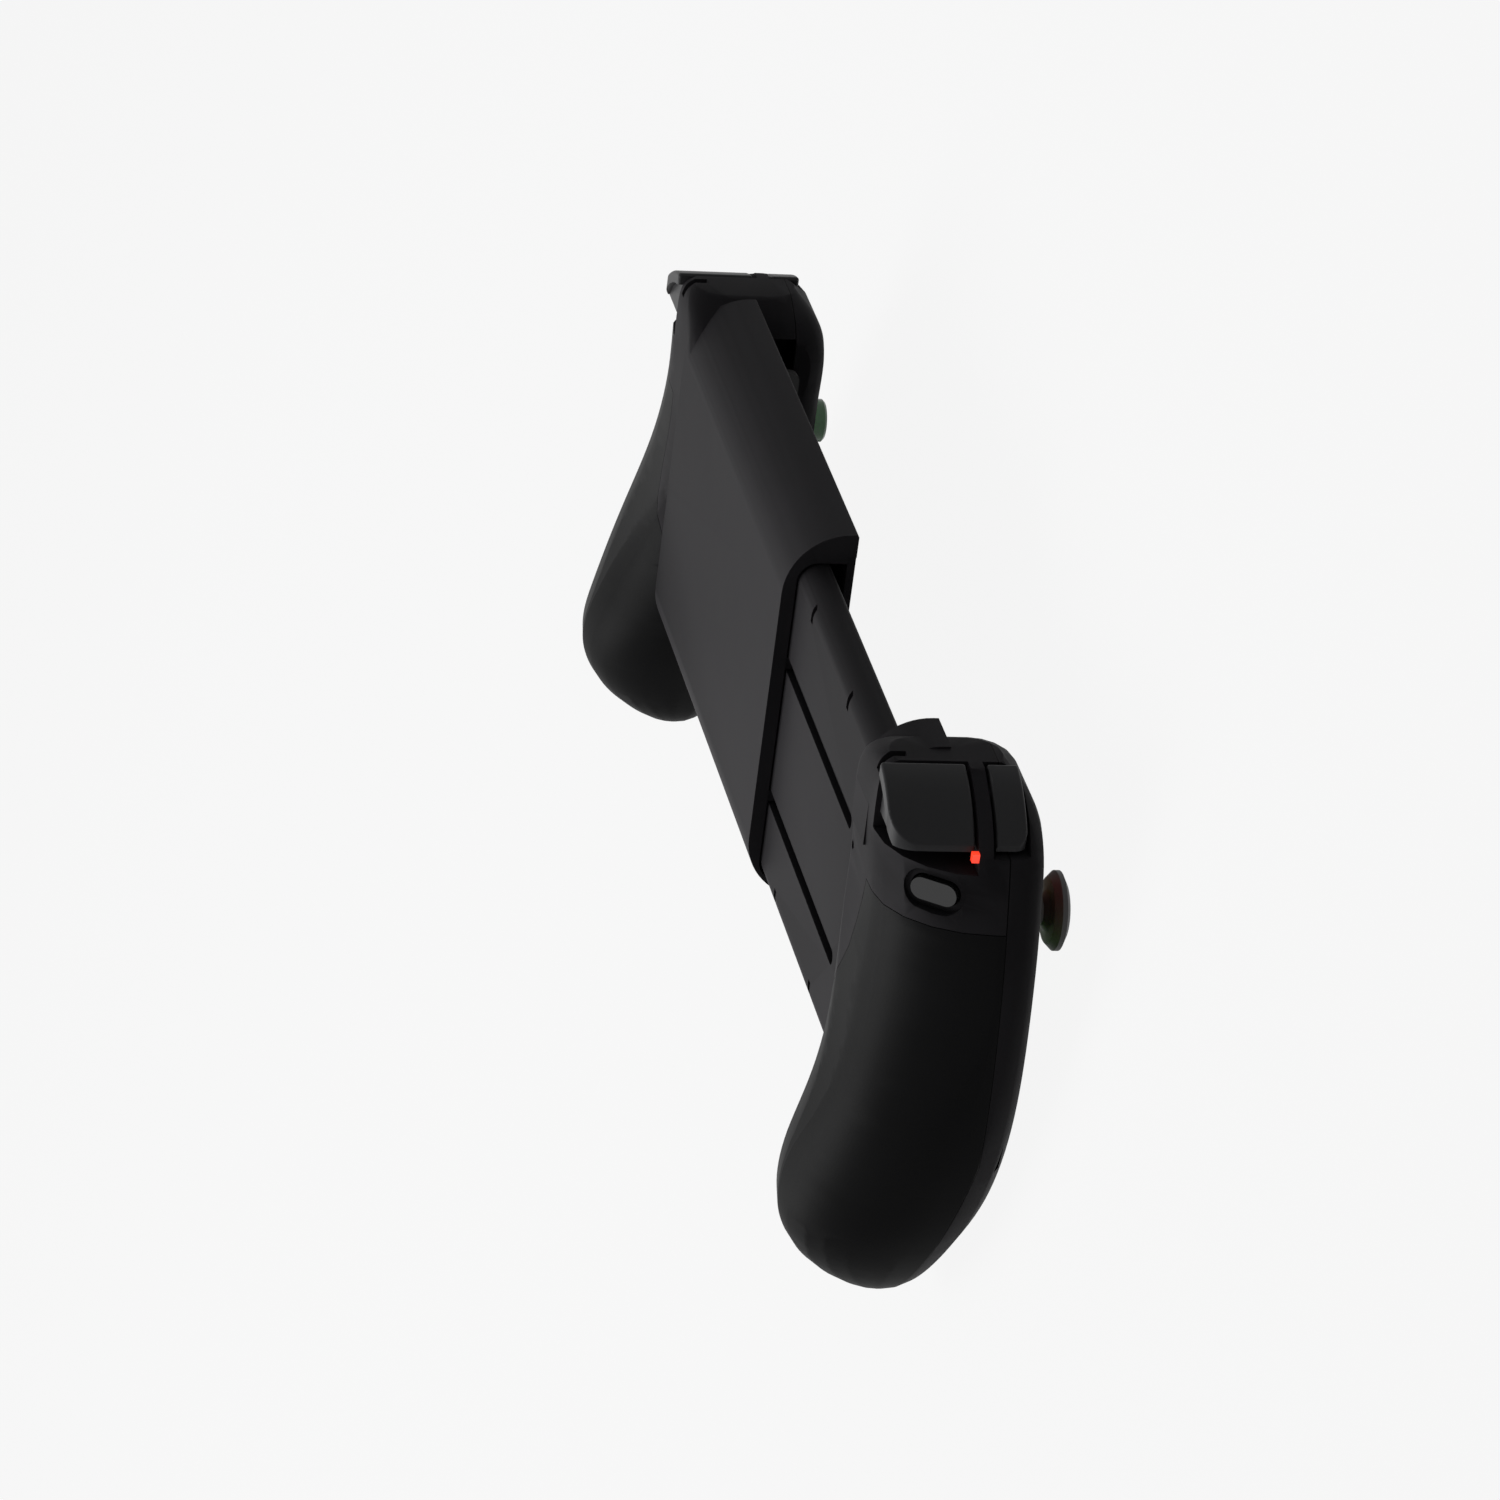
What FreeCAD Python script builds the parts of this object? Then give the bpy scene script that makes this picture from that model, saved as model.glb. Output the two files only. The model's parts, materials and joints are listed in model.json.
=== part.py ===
import FreeCAD, Part
import math
import os
import re
import Sketcher
from FreeCAD import Placement, Rotation, Vector

# Stretching game controller for a phone. Millimetres.
#
# The model is drawn face down: X points to the left-hand module, Y from the grip tips to the triggers,
# and Z out of the rear. The phone lies on the underside, between the two modules. At the end one common
# placement tips the whole controller onto its two stick caps and one grip, as it lies on a table.
#
# A place in a module is given by its distance outwards from the module's inner face, here called a.
# A size that ends in drop is a distance down from the top of the modules.

sizes = {
    # Whole controller
    "slot_length": 174,         # between the modules, as far open as the photograph shows
    "module_height": 104,       # from the grip tips to the top of the modules
    "face_level": 16.4,         # flat front of the modules, in front of the middle level
    "wall": 2,                  # moulded wall of the modules
    # Sleeve of the bridge
    "mouth_x": 15,              # open end of the sleeve
    "sleeve_rise": 0.4,         # the sleeve stands this far above the modules
    "sleeve_width": 77.4,
    "sleeve_front": 1.5,        # depth of the phone bed in front of the middle level
    "sleeve_rear": 12,
    "sleeve_round": 12.5,
    "sleeve_edge": 0.5,
    "sleeve_wall": 2.6,
    "sleeve_entry": 6,          # the sleeve and the inner plate run this far into their modules
    "channel_drop": 5.6,
    "channel_width": 67.8,
    "channel_gap": 0.4,         # running clearance round the inner plate
    "channel_edge": 1,
    "bed_thickness": 1.5,
    "bed_ledge": 1.4,
    "bed_gap": 0.1,
    "bed_start": 0.3,           # the bed starts this far from the phone pad
    "bed_setback": 0.3,         # and ends this far inside the mouth
    # Inner plate
    "plate_tail_x": -20,        # hidden end of the inner plate
    "plate_thickness": 6,
    "plate_round": 4,
    "groove_high_drop": 27,
    "groove_low_drop": 55.3,
    "groove_width": 3,
    "groove_depth": 1.3,
    "groove_end_x": 78.5,
    "lug_length": 6,
    "lug_gap": 0.3,
    "lug_setback": 0.5,
    "catch_inner_x": 29,
    "catch_pitch": 35,
    "catch_width": 1.6,
    "catch_length": 3.5,
    "catch_edge": 3.4,
    "catch_depth": 0.9,
    "pin_hole_radius": 0.8,
    "pin_hole_a": 3,
    "pin_hole_drop": 25,
    "pin_hole_depth": 3,
    "rail_width": 4,
    "rail_height": 2.2,
    "rail_edge": 9,
    "rail_end": 4,              # the rails stop this far short of the left module
    # Stub of the left module that meets the mouth of the sleeve when the controller is shut
    "root_inner": 2,
    "root_outer": 13,
    "root_height": 20,
    # Rooms inside the modules
    "room_step": 3.4,           # the room for the keys reaches back to this far in front of the middle level
    "room_level": 5.7,          # and the room for the main board to this far behind it
    "room_low": 33,
    "room_low_inner": 12.5,
    "room_low_outer": 40,
    "room_deep_inner": 13,
    "room_deep_outer": 32,
    "room_deep_low": 42,
    # Joints between the mouldings
    "parting": 9.2,             # front shell meets the rear parts this far in front of the middle level
    "parting_knee": 36,         # below this height the parting line runs back to the grip tip
    "seam_outer_drop": 23,      # top edge of the grip cover at the outer side
    "seam_corner_a": 15.5,      # its corner at the rear
    "seam_corner_drop": 25,
    "seam_leg_a": 13.2,         # from there its edge runs down and then to the inner side
    "seam_leg_drop": 40,
    "seam_low_a": 4,
    "seam_low_drop": 61,
    "seam_gap": 0.15,
    # Shoulder arc, which the shell, the trigger and the bumper follow in front view
    "shoulder_a": 14,
    "shoulder_drop": 23.4,      # drop of the arc's centre
    "shoulder_radius": 23.9,
    "shoulder_inner": 18.3,     # inner end of the trigger and bumper
    "shoulder_outer": 32.8,
    "shoulder_gap": 0.6,
    "shoulder_round": 0.6,
    "bar_front": 6.2,           # bar of the shell between the trigger and the bumper
    "bar_rear": 3.6,
    "trigger_rear": 12.4,
    "trigger_low_drop": 10,
    "trigger_pocket_drop": 13.3,
    "trigger_corner": 5,
    "trigger_lip": 2.4,         # thickness of the face where it overhangs the rear wall
    "trigger_undercut": 1.3,
    "trigger_wall": 1.8,
    "trigger_room": 8,
    "trigger_room_drop": 6.5,
    "pivot_drop": 8.2,
    "pivot_level": 1,           # pivot of the trigger, in front of the middle level
    "pivot_radius": 1,
    "pivot_fit": 0.05,
    "pivot_seat": 2,
    "pivot_length": 9.5,        # length of the trigger's bore
    "bumper_front": 12.6,
    "bumper_low_drop": 9.8,
    "bumper_pocket_drop": 10.6,
    "bumper_corner": 2.5,
    "bumper_pin_a": 19.8,
    "bumper_pin_drop": 5,
    "bumper_pin_radius": 0.8,
    "bumper_pin_seat": 0.9,
    "light_width": 1.3,
    "light_height": 1.7,
    "light_a": 33.2,
    "light_drop": 11.3,
    # Lanyard slots beside the triggers
    "lanyard_a": 15.2,
    "lanyard_level": 9.4,
    "lanyard_length": 4.8,
    "lanyard_width": 1.9,
    "lanyard_depth": 3.4,
    # Sticks
    "left_stick_a": 18,
    "left_stick_drop": 29.5,
    "right_stick_a": 22,
    "right_stick_drop": 56.5,
    "stick_pivot": 4,           # pivot's depth in front of the middle level
    "stick_hole": 9,
    "stick_height": 25,         # top of the cap
    "cap_radius": 7.25,
    "cap_rim": 3,
    "cap_dish": 0.9,
    "cap_waist": 1.2,
    "neck_radius": 2.6,
    "neck_flare": 1.2,
    "dome_radius": 12,
    "dome_wall": 1.2,
    "dome_angle": 60,
    "shaft_radius": 2,
    "shaft_foot": 2,            # clearance of the shaft's lower end above the housing's floor
    "ring_inner": 10,
    "ring_outer": 12.4,
    "ring_depth": 1.2,
    "ring_fit": 0.05,
    "housing_half": 6.6,
    "housing_wall": 1.2,
    "housing_rise": 1.4,        # the housing's walls reach this far past the pivot
    "housing_floor": 3,
    "gimbal_half": 4.4,
    "gimbal_inner": 3.1,
    "gimbal_height": 2.8,
    "yoke_half": 2.6,
    "stub_radius": 1,
    "stub_fit": 0.05,
    "rocker_end_gap": 0.4,
    "yoke_end_gap": 0.1,
    # Buttons
    "cluster_a": 19.5,
    "cluster_drop": 27.5,
    "cluster_spread": 9.8,
    "face_radius": 4.4,
    "face_height": 2.8,
    "face_bevel": 0.5,
    "button_gap": 0.35,
    "button_flange": 0.8,
    "button_play": 0.2,
    "flange_depth": 1.2,
    "small_radius": 2.6,
    "small_height": 0.4,
    "small_high_a": 8,
    "small_high_drop": 16,
    "small_low_a": 31,
    "left_small_low_y": 37,
    "right_small_low_y": 31.5,
    "small_room": 3.6,
    "dpad_a": 22,
    "dpad_drop": 56.5,
    "dpad_arm": 11,
    "dpad_width": 7,
    "dpad_height": 1.0,
    "dpad_bevel": 0.6,
    "dpad_gap": 0.7,
    "dpad_play": 1,
    "dpad_disc": 9.5,
    "dpad_ball": 1.5,
    "dpad_ball_fit": 0.05,
    "dpad_stem": 1,
    "dpad_stem_gap": 0.2,
    "back_a": 33.4,
    "back_drop": 17.6,
    "back_level": 3.4,
    "back_lean": 55,            # angle between the rear's direction and the button's own
    "back_half_length": 4.4,
    "back_half_width": 2.1,
    "back_proud": 0.4,
    "back_inside": 5,
    "back_reach": 12,
    "scoop_margin": 1.5,
    "scoop_depth": 0.8,
    # Boards, membranes and screws
    "board_thickness": 1.2,
    "board_level": 3.4,
    "board_inner": 9,
    "board_outer": 30,
    "board_low_drop": 58,
    "board_high_drop": 22,
    "key_board_level": 7.4,
    "key_board_half": 12.6,
    "dpad_board_half": 10.3,
    "dpad_spread": 7.8,
    "membrane": 0.8,
    "membrane_edge": 0.6,
    "membrane_hole": 3,
    "dome_height": 2,
    "switch_dome_radius": 2.1,
    "screw_radius": 1.6,
    "screw_head": 1,
    "screw_edge": 3,
    # Phone pads, plug and ribbon
    "pad_thickness": 1.5,
    "pad_low_drop": 44,
    "pad_high_drop": 12,
    "pad_depth": 10.5,
    "pad_gap": 0.4,
    "pad_round": 2,
    "plug_drop": 38,
    "plug_level": 5.6,
    "plug_half_width": 4.13,
    "plug_half_height": 1.2,
    "plug_length": 6.6,
    "plug_inside": 6,
    "plug_skin": 0.3,
    "plug_back": 1,
    "plug_boot": 1.6,
    "boot_gap": 0.2,
    "ribbon_width": 9,
    "ribbon_thickness": 0.25,
    "ribbon_inside": 2,
    "ribbon_end": 4,
}

# Module form, one row for each section. The first number is the drop from the top in the upper rows, and the
# height above the grip tip in the lower ones. The others are the inner end, the outer end, the front depth,
# the rear depth, and the radii of the front corners, the outer rear corner and the inner rear corner.
upper_rows = (
    (0, 8.6, 20.3, 10.7, 9.7, 5.6, 5.6, 5.6),
    (2.5, 3.6, 25.4, 13.3, 11.6, 6.4, 7.3, 6.0),
    (7, -0.3, 31.8, 16.1, 12.0, 7.6, 12.5, 4.0),
    (16, -0.5, 36.8, 16.8, 11.8, 6.8, 18.0, 2.5),
    (28, -0.5, 40.6, 16.8, 11.2, 7.4, 19.0, 3.0),
    (42, -0.3, 43.6, 16.8, 12.3, 8.6, 19.0, 8.0),
    (58, 2.4, 45.3, 16.8, 15.3, 10.8, 16.6, 16.0),
)
grip_rows = (
    (32, 4.5, 44.7, 16.0, 19.6, 12.6, 18.5, 18.5),
    (20, 8.0, 42.4, 13.6, 21.9, 13.5, 16.8, 16.8),
    (11, 11.8, 38.6, 10.0, 19.0, 12.3, 13.1, 13.1),
    (4.5, 15.7, 33.2, 6.1, 11.7, 8.4, 8.4, 8.4),
    (0.8, 21.7, 27.1, 1.7, 5.0, 2.5, 2.5, 2.5),
)
section_names = ("inner", "outer", "front", "rear", "front_round", "rear_round", "inner_round")
section_count = len(upper_rows) + len(grip_rows)
for index, row in enumerate(upper_rows + grip_rows):
    sizes[f"form{index}_place"] = row[0]
    for name, value in zip(section_names, row[1:]):
        sizes[f"form{index}_{name}"] = value

doc = FreeCAD.newDocument("game_controller")
sheet = doc.addObject("Spreadsheet::Sheet", "Sizes")
for row, (alias, value) in enumerate(sizes.items(), start=1):
    sheet.set(f"A{row}", alias)
    sheet.set(f"B{row}", str(value))
    sheet.setAlias(f"B{row}", alias)
doc.recompute()

FAR = "200"     # further out than any piece reaches


def number(expression):
    """The value of an expression of sheet sizes."""
    return float(sheet.evalExpression(expression))


def bound(expression):
    """The same expression with each size named through the sheet."""

    def through_sheet(match):
        word = match.group(0)
        return f"Sizes.{word}" if word in sizes else word

    return re.sub(r"[a-z_][a-z0-9_]*", through_sheet, expression)


def down(drop):
    """Height of a place that is given by its drop from the top of the modules."""
    return f"(module_height - {drop})"


def section_height(index):
    place = f"form{index}_place"
    return down(place) if index < len(upper_rows) else place


sleeve_top = "(module_height + sleeve_rise)"
sleeve_bottom = f"({sleeve_top} - sleeve_width)"
channel_top = down("channel_drop")
channel_bottom = f"({channel_top} - channel_width)"
channel_rear = "(sleeve_rear - sleeve_wall)"
plate_rear = f"({channel_rear} - channel_gap)"
plate_front = f"({plate_rear} - plate_thickness)"
bed_front = "(-sleeve_front)"
bed_rear = "(bed_thickness - sleeve_front)"
face_inside = "(wall - face_level)"
flange_front = f"({face_inside} + button_play)"
dpad_centre = f"({face_inside} + dpad_play + flange_depth)"
key_board_front = "(-key_board_level - board_thickness)"
plug_y = down("plug_drop")


# Drawing helpers


def origin_plane(body, role):
    return [feature for feature in body.Origin.OriginFeatures if feature.Role == role][0]


def new_body(label, base=None):
    body = doc.addObject("PartDesign::Body", label)
    body.Label = label
    if base is not None:
        body.BaseFeature = base
    return body


def new_sketch(body, role, level="0"):
    """A sketch on one of the body's planes, moved along the plane's normal."""
    sketch = body.newObject("Sketcher::SketchObject", "Sketch")
    sketch.AttachmentSupport = [(origin_plane(body, role), "")]
    sketch.MapMode = "FlatFace"
    sketch.setExpression("AttachmentOffset.Base.z", bound(level))
    return sketch


def drive(sketch, name, constraint, expression):
    """Add a constraint whose value follows the sheet."""
    index = sketch.addConstraint(constraint)
    sketch.renameConstraint(index, name)
    sketch.setExpression(f"Constraints.{name}", bound(expression))


def line(sketch, start, end):
    return sketch.addGeometry(Part.LineSegment(Vector(*start, 0), Vector(*end, 0)), False)


def arc(sketch, centre, radius, start, end):
    circle = Part.Circle(Vector(*centre, 0), Vector(0, 0, 1), radius)
    return sketch.addGeometry(Part.ArcOfCircle(circle, math.radians(start), math.radians(end)), False)


def draw_polygon(sketch, corners):
    """A closed outline of straight sides through corners given as pairs of expressions."""
    places = [(number(x), number(y)) for x, y in corners]
    count = len(places)
    sides = [line(sketch, places[i], places[(i + 1) % count]) for i in range(count)]
    joints = [Sketcher.Constraint("Coincident", sides[i], 2, sides[(i + 1) % count], 1) for i in range(count)]
    sketch.addConstraint(joints)
    for i, (x, y) in enumerate(corners):
        across = Sketcher.Constraint("DistanceX", -1, 1, sides[i], 1, places[i][0])
        up = Sketcher.Constraint("DistanceY", -1, 1, sides[i], 1, places[i][1])
        drive(sketch, f"x{i}", across, x)
        drive(sketch, f"y{i}", up, y)


def draw_box(sketch, left, right, low, high):
    draw_polygon(sketch, ((left, low), (right, low), (right, high), (left, high)))


def draw_rounded(sketch, left, right, low, high, low_round, high_round):
    """A rectangle with one radius on its two low corners and another on its two high ones."""
    x0, x1, y0, y1 = number(left), number(right), number(low), number(high)
    r, s = number(low_round), number(high_round)
    parts = (
        line(sketch, (x0 + r, y0), (x1 - r, y0)),
        arc(sketch, (x1 - r, y0 + r), r, -90, 0),
        line(sketch, (x1, y0 + r), (x1, y1 - s)),
        arc(sketch, (x1 - s, y1 - s), s, 0, 90),
        line(sketch, (x1 - s, y1), (x0 + s, y1)),
        arc(sketch, (x0 + s, y1 - s), s, 90, 180),
        line(sketch, (x0, y1 - s), (x0, y0 + r)),
        arc(sketch, (x0 + r, y0 + r), r, 180, 270),
    )
    for i, part in enumerate(parts):
        sketch.addConstraint(Sketcher.Constraint("Tangent", part, 2, parts[(i + 1) % len(parts)], 1))
    bottom, low_right, right_side, high_right, top, high_left, left_side, low_left = parts
    sketch.addConstraint(Sketcher.Constraint("Horizontal", bottom))
    sketch.addConstraint(Sketcher.Constraint("Horizontal", top))
    sketch.addConstraint(Sketcher.Constraint("Vertical", right_side))
    sketch.addConstraint(Sketcher.Constraint("Vertical", left_side))
    sketch.addConstraint(Sketcher.Constraint("Equal", low_left, low_right))
    sketch.addConstraint(Sketcher.Constraint("Equal", high_left, high_right))
    drive(sketch, "left", Sketcher.Constraint("DistanceX", -1, 1, left_side, 1, x0), left)
    drive(sketch, "right", Sketcher.Constraint("DistanceX", -1, 1, right_side, 1, x1), right)
    drive(sketch, "low", Sketcher.Constraint("DistanceY", -1, 1, bottom, 1, y0), low)
    drive(sketch, "high", Sketcher.Constraint("DistanceY", -1, 1, top, 1, y1), high)
    drive(sketch, "low_round", Sketcher.Constraint("Radius", low_right, r), low_round)
    drive(sketch, "high_round", Sketcher.Constraint("Radius", high_right, s), high_round)


def draw_circle(sketch, x, y, radius):
    circle = Part.Circle(Vector(number(x), number(y), 0), Vector(0, 0, 1), number(radius))
    index = sketch.addGeometry(circle, False)
    drive(sketch, f"x{index}", Sketcher.Constraint("DistanceX", -1, 1, index, 3, number(x)), x)
    drive(sketch, f"y{index}", Sketcher.Constraint("DistanceY", -1, 1, index, 3, number(y)), y)
    drive(sketch, f"radius{index}", Sketcher.Constraint("Radius", index, number(radius)), radius)


def draw_slot(sketch, x, y, half_length, half_width):
    """A slot with round ends, lying along the sketch's first axis."""
    cx, cy = number(x), number(y)
    reach = number(half_length) - number(half_width)
    r = number(half_width)
    low = line(sketch, (cx - reach, cy - r), (cx + reach, cy - r))
    right = arc(sketch, (cx + reach, cy), r, -90, 90)
    high = line(sketch, (cx + reach, cy + r), (cx - reach, cy + r))
    left = arc(sketch, (cx - reach, cy), r, 90, 270)
    for first, second in ((low, right), (right, high), (high, left), (left, low)):
        sketch.addConstraint(Sketcher.Constraint("Tangent", first, 2, second, 1))
    sketch.addConstraint(Sketcher.Constraint("Horizontal", low))
    left_x = f"{x} - ({half_length} - ({half_width}))"
    right_x = f"{x} + ({half_length} - ({half_width}))"
    drive(sketch, "left", Sketcher.Constraint("DistanceX", -1, 1, left, 3, cx - reach), left_x)
    drive(sketch, "right", Sketcher.Constraint("DistanceX", -1, 1, right, 3, cx + reach), right_x)
    drive(sketch, "level", Sketcher.Constraint("DistanceY", -1, 1, left, 3, cy), y)
    drive(sketch, "radius", Sketcher.Constraint("Radius", left, r), half_width)


def pad(body, sketch, length):
    feature = body.newObject("PartDesign::Pad", "Pad")
    feature.Profile = sketch
    feature.setExpression("Length", bound(length))
    return feature


def pocket(body, sketch, length):
    """Cut from the sketch's plane against its normal."""
    feature = body.newObject("PartDesign::Pocket", "Pocket")
    feature.Profile = sketch
    feature.setExpression("Length", bound(length))
    return feature


def revolve(body, sketch, kind="PartDesign::Revolution"):
    feature = body.newObject(kind, "Turned")
    feature.Profile = sketch
    feature.ReferenceAxis = (sketch, ["V_Axis"])
    feature.Angle = 360
    return feature


def add_box(body, left, right, low, high, front, rear):
    sketch = new_sketch(body, "XY_Plane", front)
    draw_box(sketch, left, right, low, high)
    return pad(body, sketch, f"({rear}) - ({front})")


def cut_box(body, left, right, low, high, front, rear):
    sketch = new_sketch(body, "XY_Plane", rear)
    draw_box(sketch, left, right, low, high)
    return pocket(body, sketch, f"({rear}) - ({front})")


def add_disc(body, x, y, radius, front, rear):
    sketch = new_sketch(body, "XY_Plane", front)
    draw_circle(sketch, x, y, radius)
    return pad(body, sketch, f"({rear}) - ({front})")


def cut_disc(body, x, y, radius, front, rear):
    sketch = new_sketch(body, "XY_Plane", rear)
    draw_circle(sketch, x, y, radius)
    return pocket(body, sketch, f"({rear}) - ({front})")


def add_rod_x(body, y, z, radius, left, right):
    sketch = new_sketch(body, "YZ_Plane", left)
    draw_circle(sketch, y, z, radius)
    return pad(body, sketch, f"({right}) - ({left})")


def cut_rod_x(body, y, z, radius, left, right):
    sketch = new_sketch(body, "YZ_Plane", right)
    draw_circle(sketch, y, z, radius)
    return pocket(body, sketch, f"({right}) - ({left})")


def add_rod_y(body, x, z, radius, low, high):
    """A rod along Y. The XZ plane's normal points along -Y, so the sketch lies at the high end."""
    sketch = new_sketch(body, "XZ_Plane", f"-({high})")
    draw_circle(sketch, x, z, radius)
    return pad(body, sketch, f"({high}) - ({low})")


def cut_rod_y(body, x, z, radius, low, high):
    sketch = new_sketch(body, "XZ_Plane", f"-({low})")
    draw_circle(sketch, x, z, radius)
    return pocket(body, sketch, f"({high}) - ({low})")


def dress_edges(body, feature, kind, wanted):
    """Dress the edges whose middle point passes the test."""
    doc.recompute()
    names = []
    for index, edge in enumerate(feature.Shape.Edges):
        middle = edge.valueAt((edge.FirstParameter + edge.LastParameter) / 2)
        if wanted(middle):
            names.append(f"Edge{index + 1}")
    dressing = body.newObject(kind, "Edges")
    dressing.Base = (feature, names)
    return dressing


def round_edges(body, feature, radius, wanted):
    fillet = dress_edges(body, feature, "PartDesign::Fillet", wanted)
    fillet.setExpression("Radius", bound(radius))
    return fillet


def bevel_edges(body, feature, width, wanted):
    chamfer = dress_edges(body, feature, "PartDesign::Chamfer", wanted)
    chamfer.setExpression("Size", bound(width))
    return chamfer


LEFT = 1
RIGHT = -1


def along(side, distance):
    """X of a place in a module, given its distance outwards from the module's inner face."""
    return f"{side} * (slot_length / 2 + {distance})"


def span(side, inner, outer):
    """The lower and the higher X of a stretch of a module."""
    ends = (along(side, inner), along(side, outer))
    return ends if side == LEFT else ends[::-1]


# Module form

FRONT_CHORDS = 4
REAR_CHORDS = 5


def section_corners(side, index):
    """A section's outline. Each rounded corner is a few chords of its arc, which keeps the faces few."""
    form = f"form{index}_"
    corners = []
    for end, outward, depth, rearward, radius, chords in (
        ("outer", 1, "front", -1, "front_round", FRONT_CHORDS),
        ("outer", 1, "rear", 1, "rear_round", REAR_CHORDS),
        ("inner", -1, "rear", 1, "inner_round", REAR_CHORDS),
        ("inner", -1, "front", -1, "front_round", FRONT_CHORDS),
    ):
        turns = [math.radians(90 * step / chords) for step in range(chords + 1)]
        if outward == rearward:
            turns = turns[::-1]
        for turn in turns:
            inset = 1 - math.sin(turn)
            fall = 1 - math.cos(turn)
            place = f"{form}{end} - {outward * inset:.6f} * {form}{radius}"
            level = f"{rearward} * ({form}{depth} - {fall:.6f} * {form}{radius})"
            corners.append((along(side, place), level))
    return corners


def make_module_form(name, side):
    """Moulded outer form: a smooth loft through the sections, with a flat front and a flat inner face."""
    body = new_body(name)
    sections = []
    for index in range(section_count):
        sketch = new_sketch(body, "XZ_Plane", f"-{section_height(index)}")
        draw_polygon(sketch, section_corners(side, index))
        sections.append(sketch)
    loft = body.newObject("PartDesign::AdditiveLoft", "Form")
    loft.Profile = sections[0]
    loft.Sections = sections[1:]
    left, right = span(side, f"-{FAR}", "0")
    cut_box(body, left, right, f"-{FAR}", FAR, f"-{FAR}", FAR)
    left, right = span(side, f"-{FAR}", FAR)
    cut_box(body, left, right, f"-{FAR}", FAR, f"-{FAR}", "-face_level")
    return body


# Module shells


def draw_room(sketch, side, top, upper, lower):
    """Outline of a room inside a module: the two numbers are walls left at its outer side."""
    draw_polygon(
        sketch,
        (
            (along(side, "form3_inner + wall * 2"), top),
            (along(side, "form4_inner + wall * 2"), section_height(4)),
            (along(side, "form5_inner + wall * 2.5"), section_height(5)),
            (along(side, "form6_inner + wall * 2.7"), section_height(6)),
            (along(side, "room_low_inner"), "room_low"),
            (along(side, "room_low_outer"), "room_low"),
            (along(side, f"form6_outer - wall * {lower}"), section_height(6)),
            (along(side, f"form4_outer - wall * {upper}"), section_height(4)),
            (along(side, f"form3_outer - wall * {upper}"), section_height(3)),
            (along(side, f"form3_outer - wall * ({upper} + 1.2)"), top),
        ),
    )


def hollow_module(body, side):
    """Room for the keys behind the front, for the main board behind it, and a deeper room in the grip."""
    keys = new_sketch(body, "XY_Plane", "-room_step")
    draw_room(keys, side, f"{down('bumper_pocket_drop')} - wall * 0.9", "1.8", "3")
    pocket(body, keys, f"-room_step - {face_inside}")
    board = new_sketch(body, "XY_Plane", "room_level")
    draw_room(board, side, f"{down('trigger_pocket_drop')} - wall", "4", "3.5")
    pocket(body, board, "room_level + room_step + wall / 2")
    left, right = span(side, "room_deep_inner", "room_deep_outer")
    deep = new_sketch(body, "YZ_Plane", right)
    draw_polygon(
        deep,
        (
            (section_height(5), "room_level - wall / 2"),
            (section_height(5), "form5_rear - wall * 2.2"),
            (section_height(6), "form6_rear - wall * 2.2"),
            ("room_deep_low", "form6_rear - wall * 2.2"),
            ("room_deep_low", "room_level - wall / 2"),
        ),
    )
    pocket(body, deep, f"({right}) - ({left})")


def cut_beyond_parting(body, side, keep_front):
    """Remove the part of the module in front of the parting line, or behind it."""
    left, right = span(side, f"-{FAR}", FAR)
    sketch = new_sketch(body, "YZ_Plane", right)
    far_level = FAR if keep_front else f"-{FAR}"
    draw_polygon(
        sketch,
        (
            ("-parting_knee", "parting"),
            ("0", "0"),
            ("parting_knee", "-parting"),
            (FAR, "-parting"),
            (FAR, far_level),
            ("-parting_knee", far_level),
        ),
    )
    pocket(body, sketch, f"({right}) - ({left})")


def cut_beyond_seam(body, side, keep_low):
    """Remove the rear shell inside the grip seam, or the grip cover outside it, less a narrow gap."""
    sketch = new_sketch(body, "XY_Plane", FAR)
    far_height = FAR if keep_low else f"-{FAR}"
    gap = "seam_gap" if keep_low else "0"
    draw_polygon(
        sketch,
        (
            (along(side, f"-{FAR}"), f"{down('seam_low_drop')} - {gap}"),
            (along(side, f"seam_low_a + {gap}"), f"{down('seam_low_drop')} - {gap}"),
            (along(side, f"seam_leg_a + {gap}"), down("seam_leg_drop")),
            (along(side, f"seam_corner_a + {gap}"), f"{down('seam_corner_drop')} - {gap}"),
            (along(side, "form4_outer"), f"{down('seam_outer_drop')} - {gap}"),
            (along(side, FAR), f"{down('seam_outer_drop')} - {gap}"),
            (along(side, FAR), far_height),
            (along(side, f"-{FAR}"), far_height),
        ),
    )
    pocket(body, sketch, f"2 * {FAR}")


def cut_shoulder(body, side):
    """Pockets for the trigger and the bumper, with the bar left standing between them, and the pin holes."""
    left, right = span(side, "shoulder_inner - shoulder_gap", FAR)
    cut_box(body, left, right, down("trigger_pocket_drop"), FAR, "-bar_rear", FAR)
    cut_box(body, left, right, down("bumper_pocket_drop"), FAR, "-bumper_front - shoulder_gap", "-bar_front")
    cut_disc(body, along(side, "bumper_pin_a"), down("bumper_pin_drop"), "bumper_pin_radius",
             "-bumper_front - shoulder_gap - bumper_pin_seat", "-bar_front + bumper_pin_seat")


def make_front_shell(name, side, form):
    body = new_body(name, form)
    cut_beyond_parting(body, side, True)
    hollow_module(body, side)
    cut_shoulder(body, side)
    return body


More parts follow.
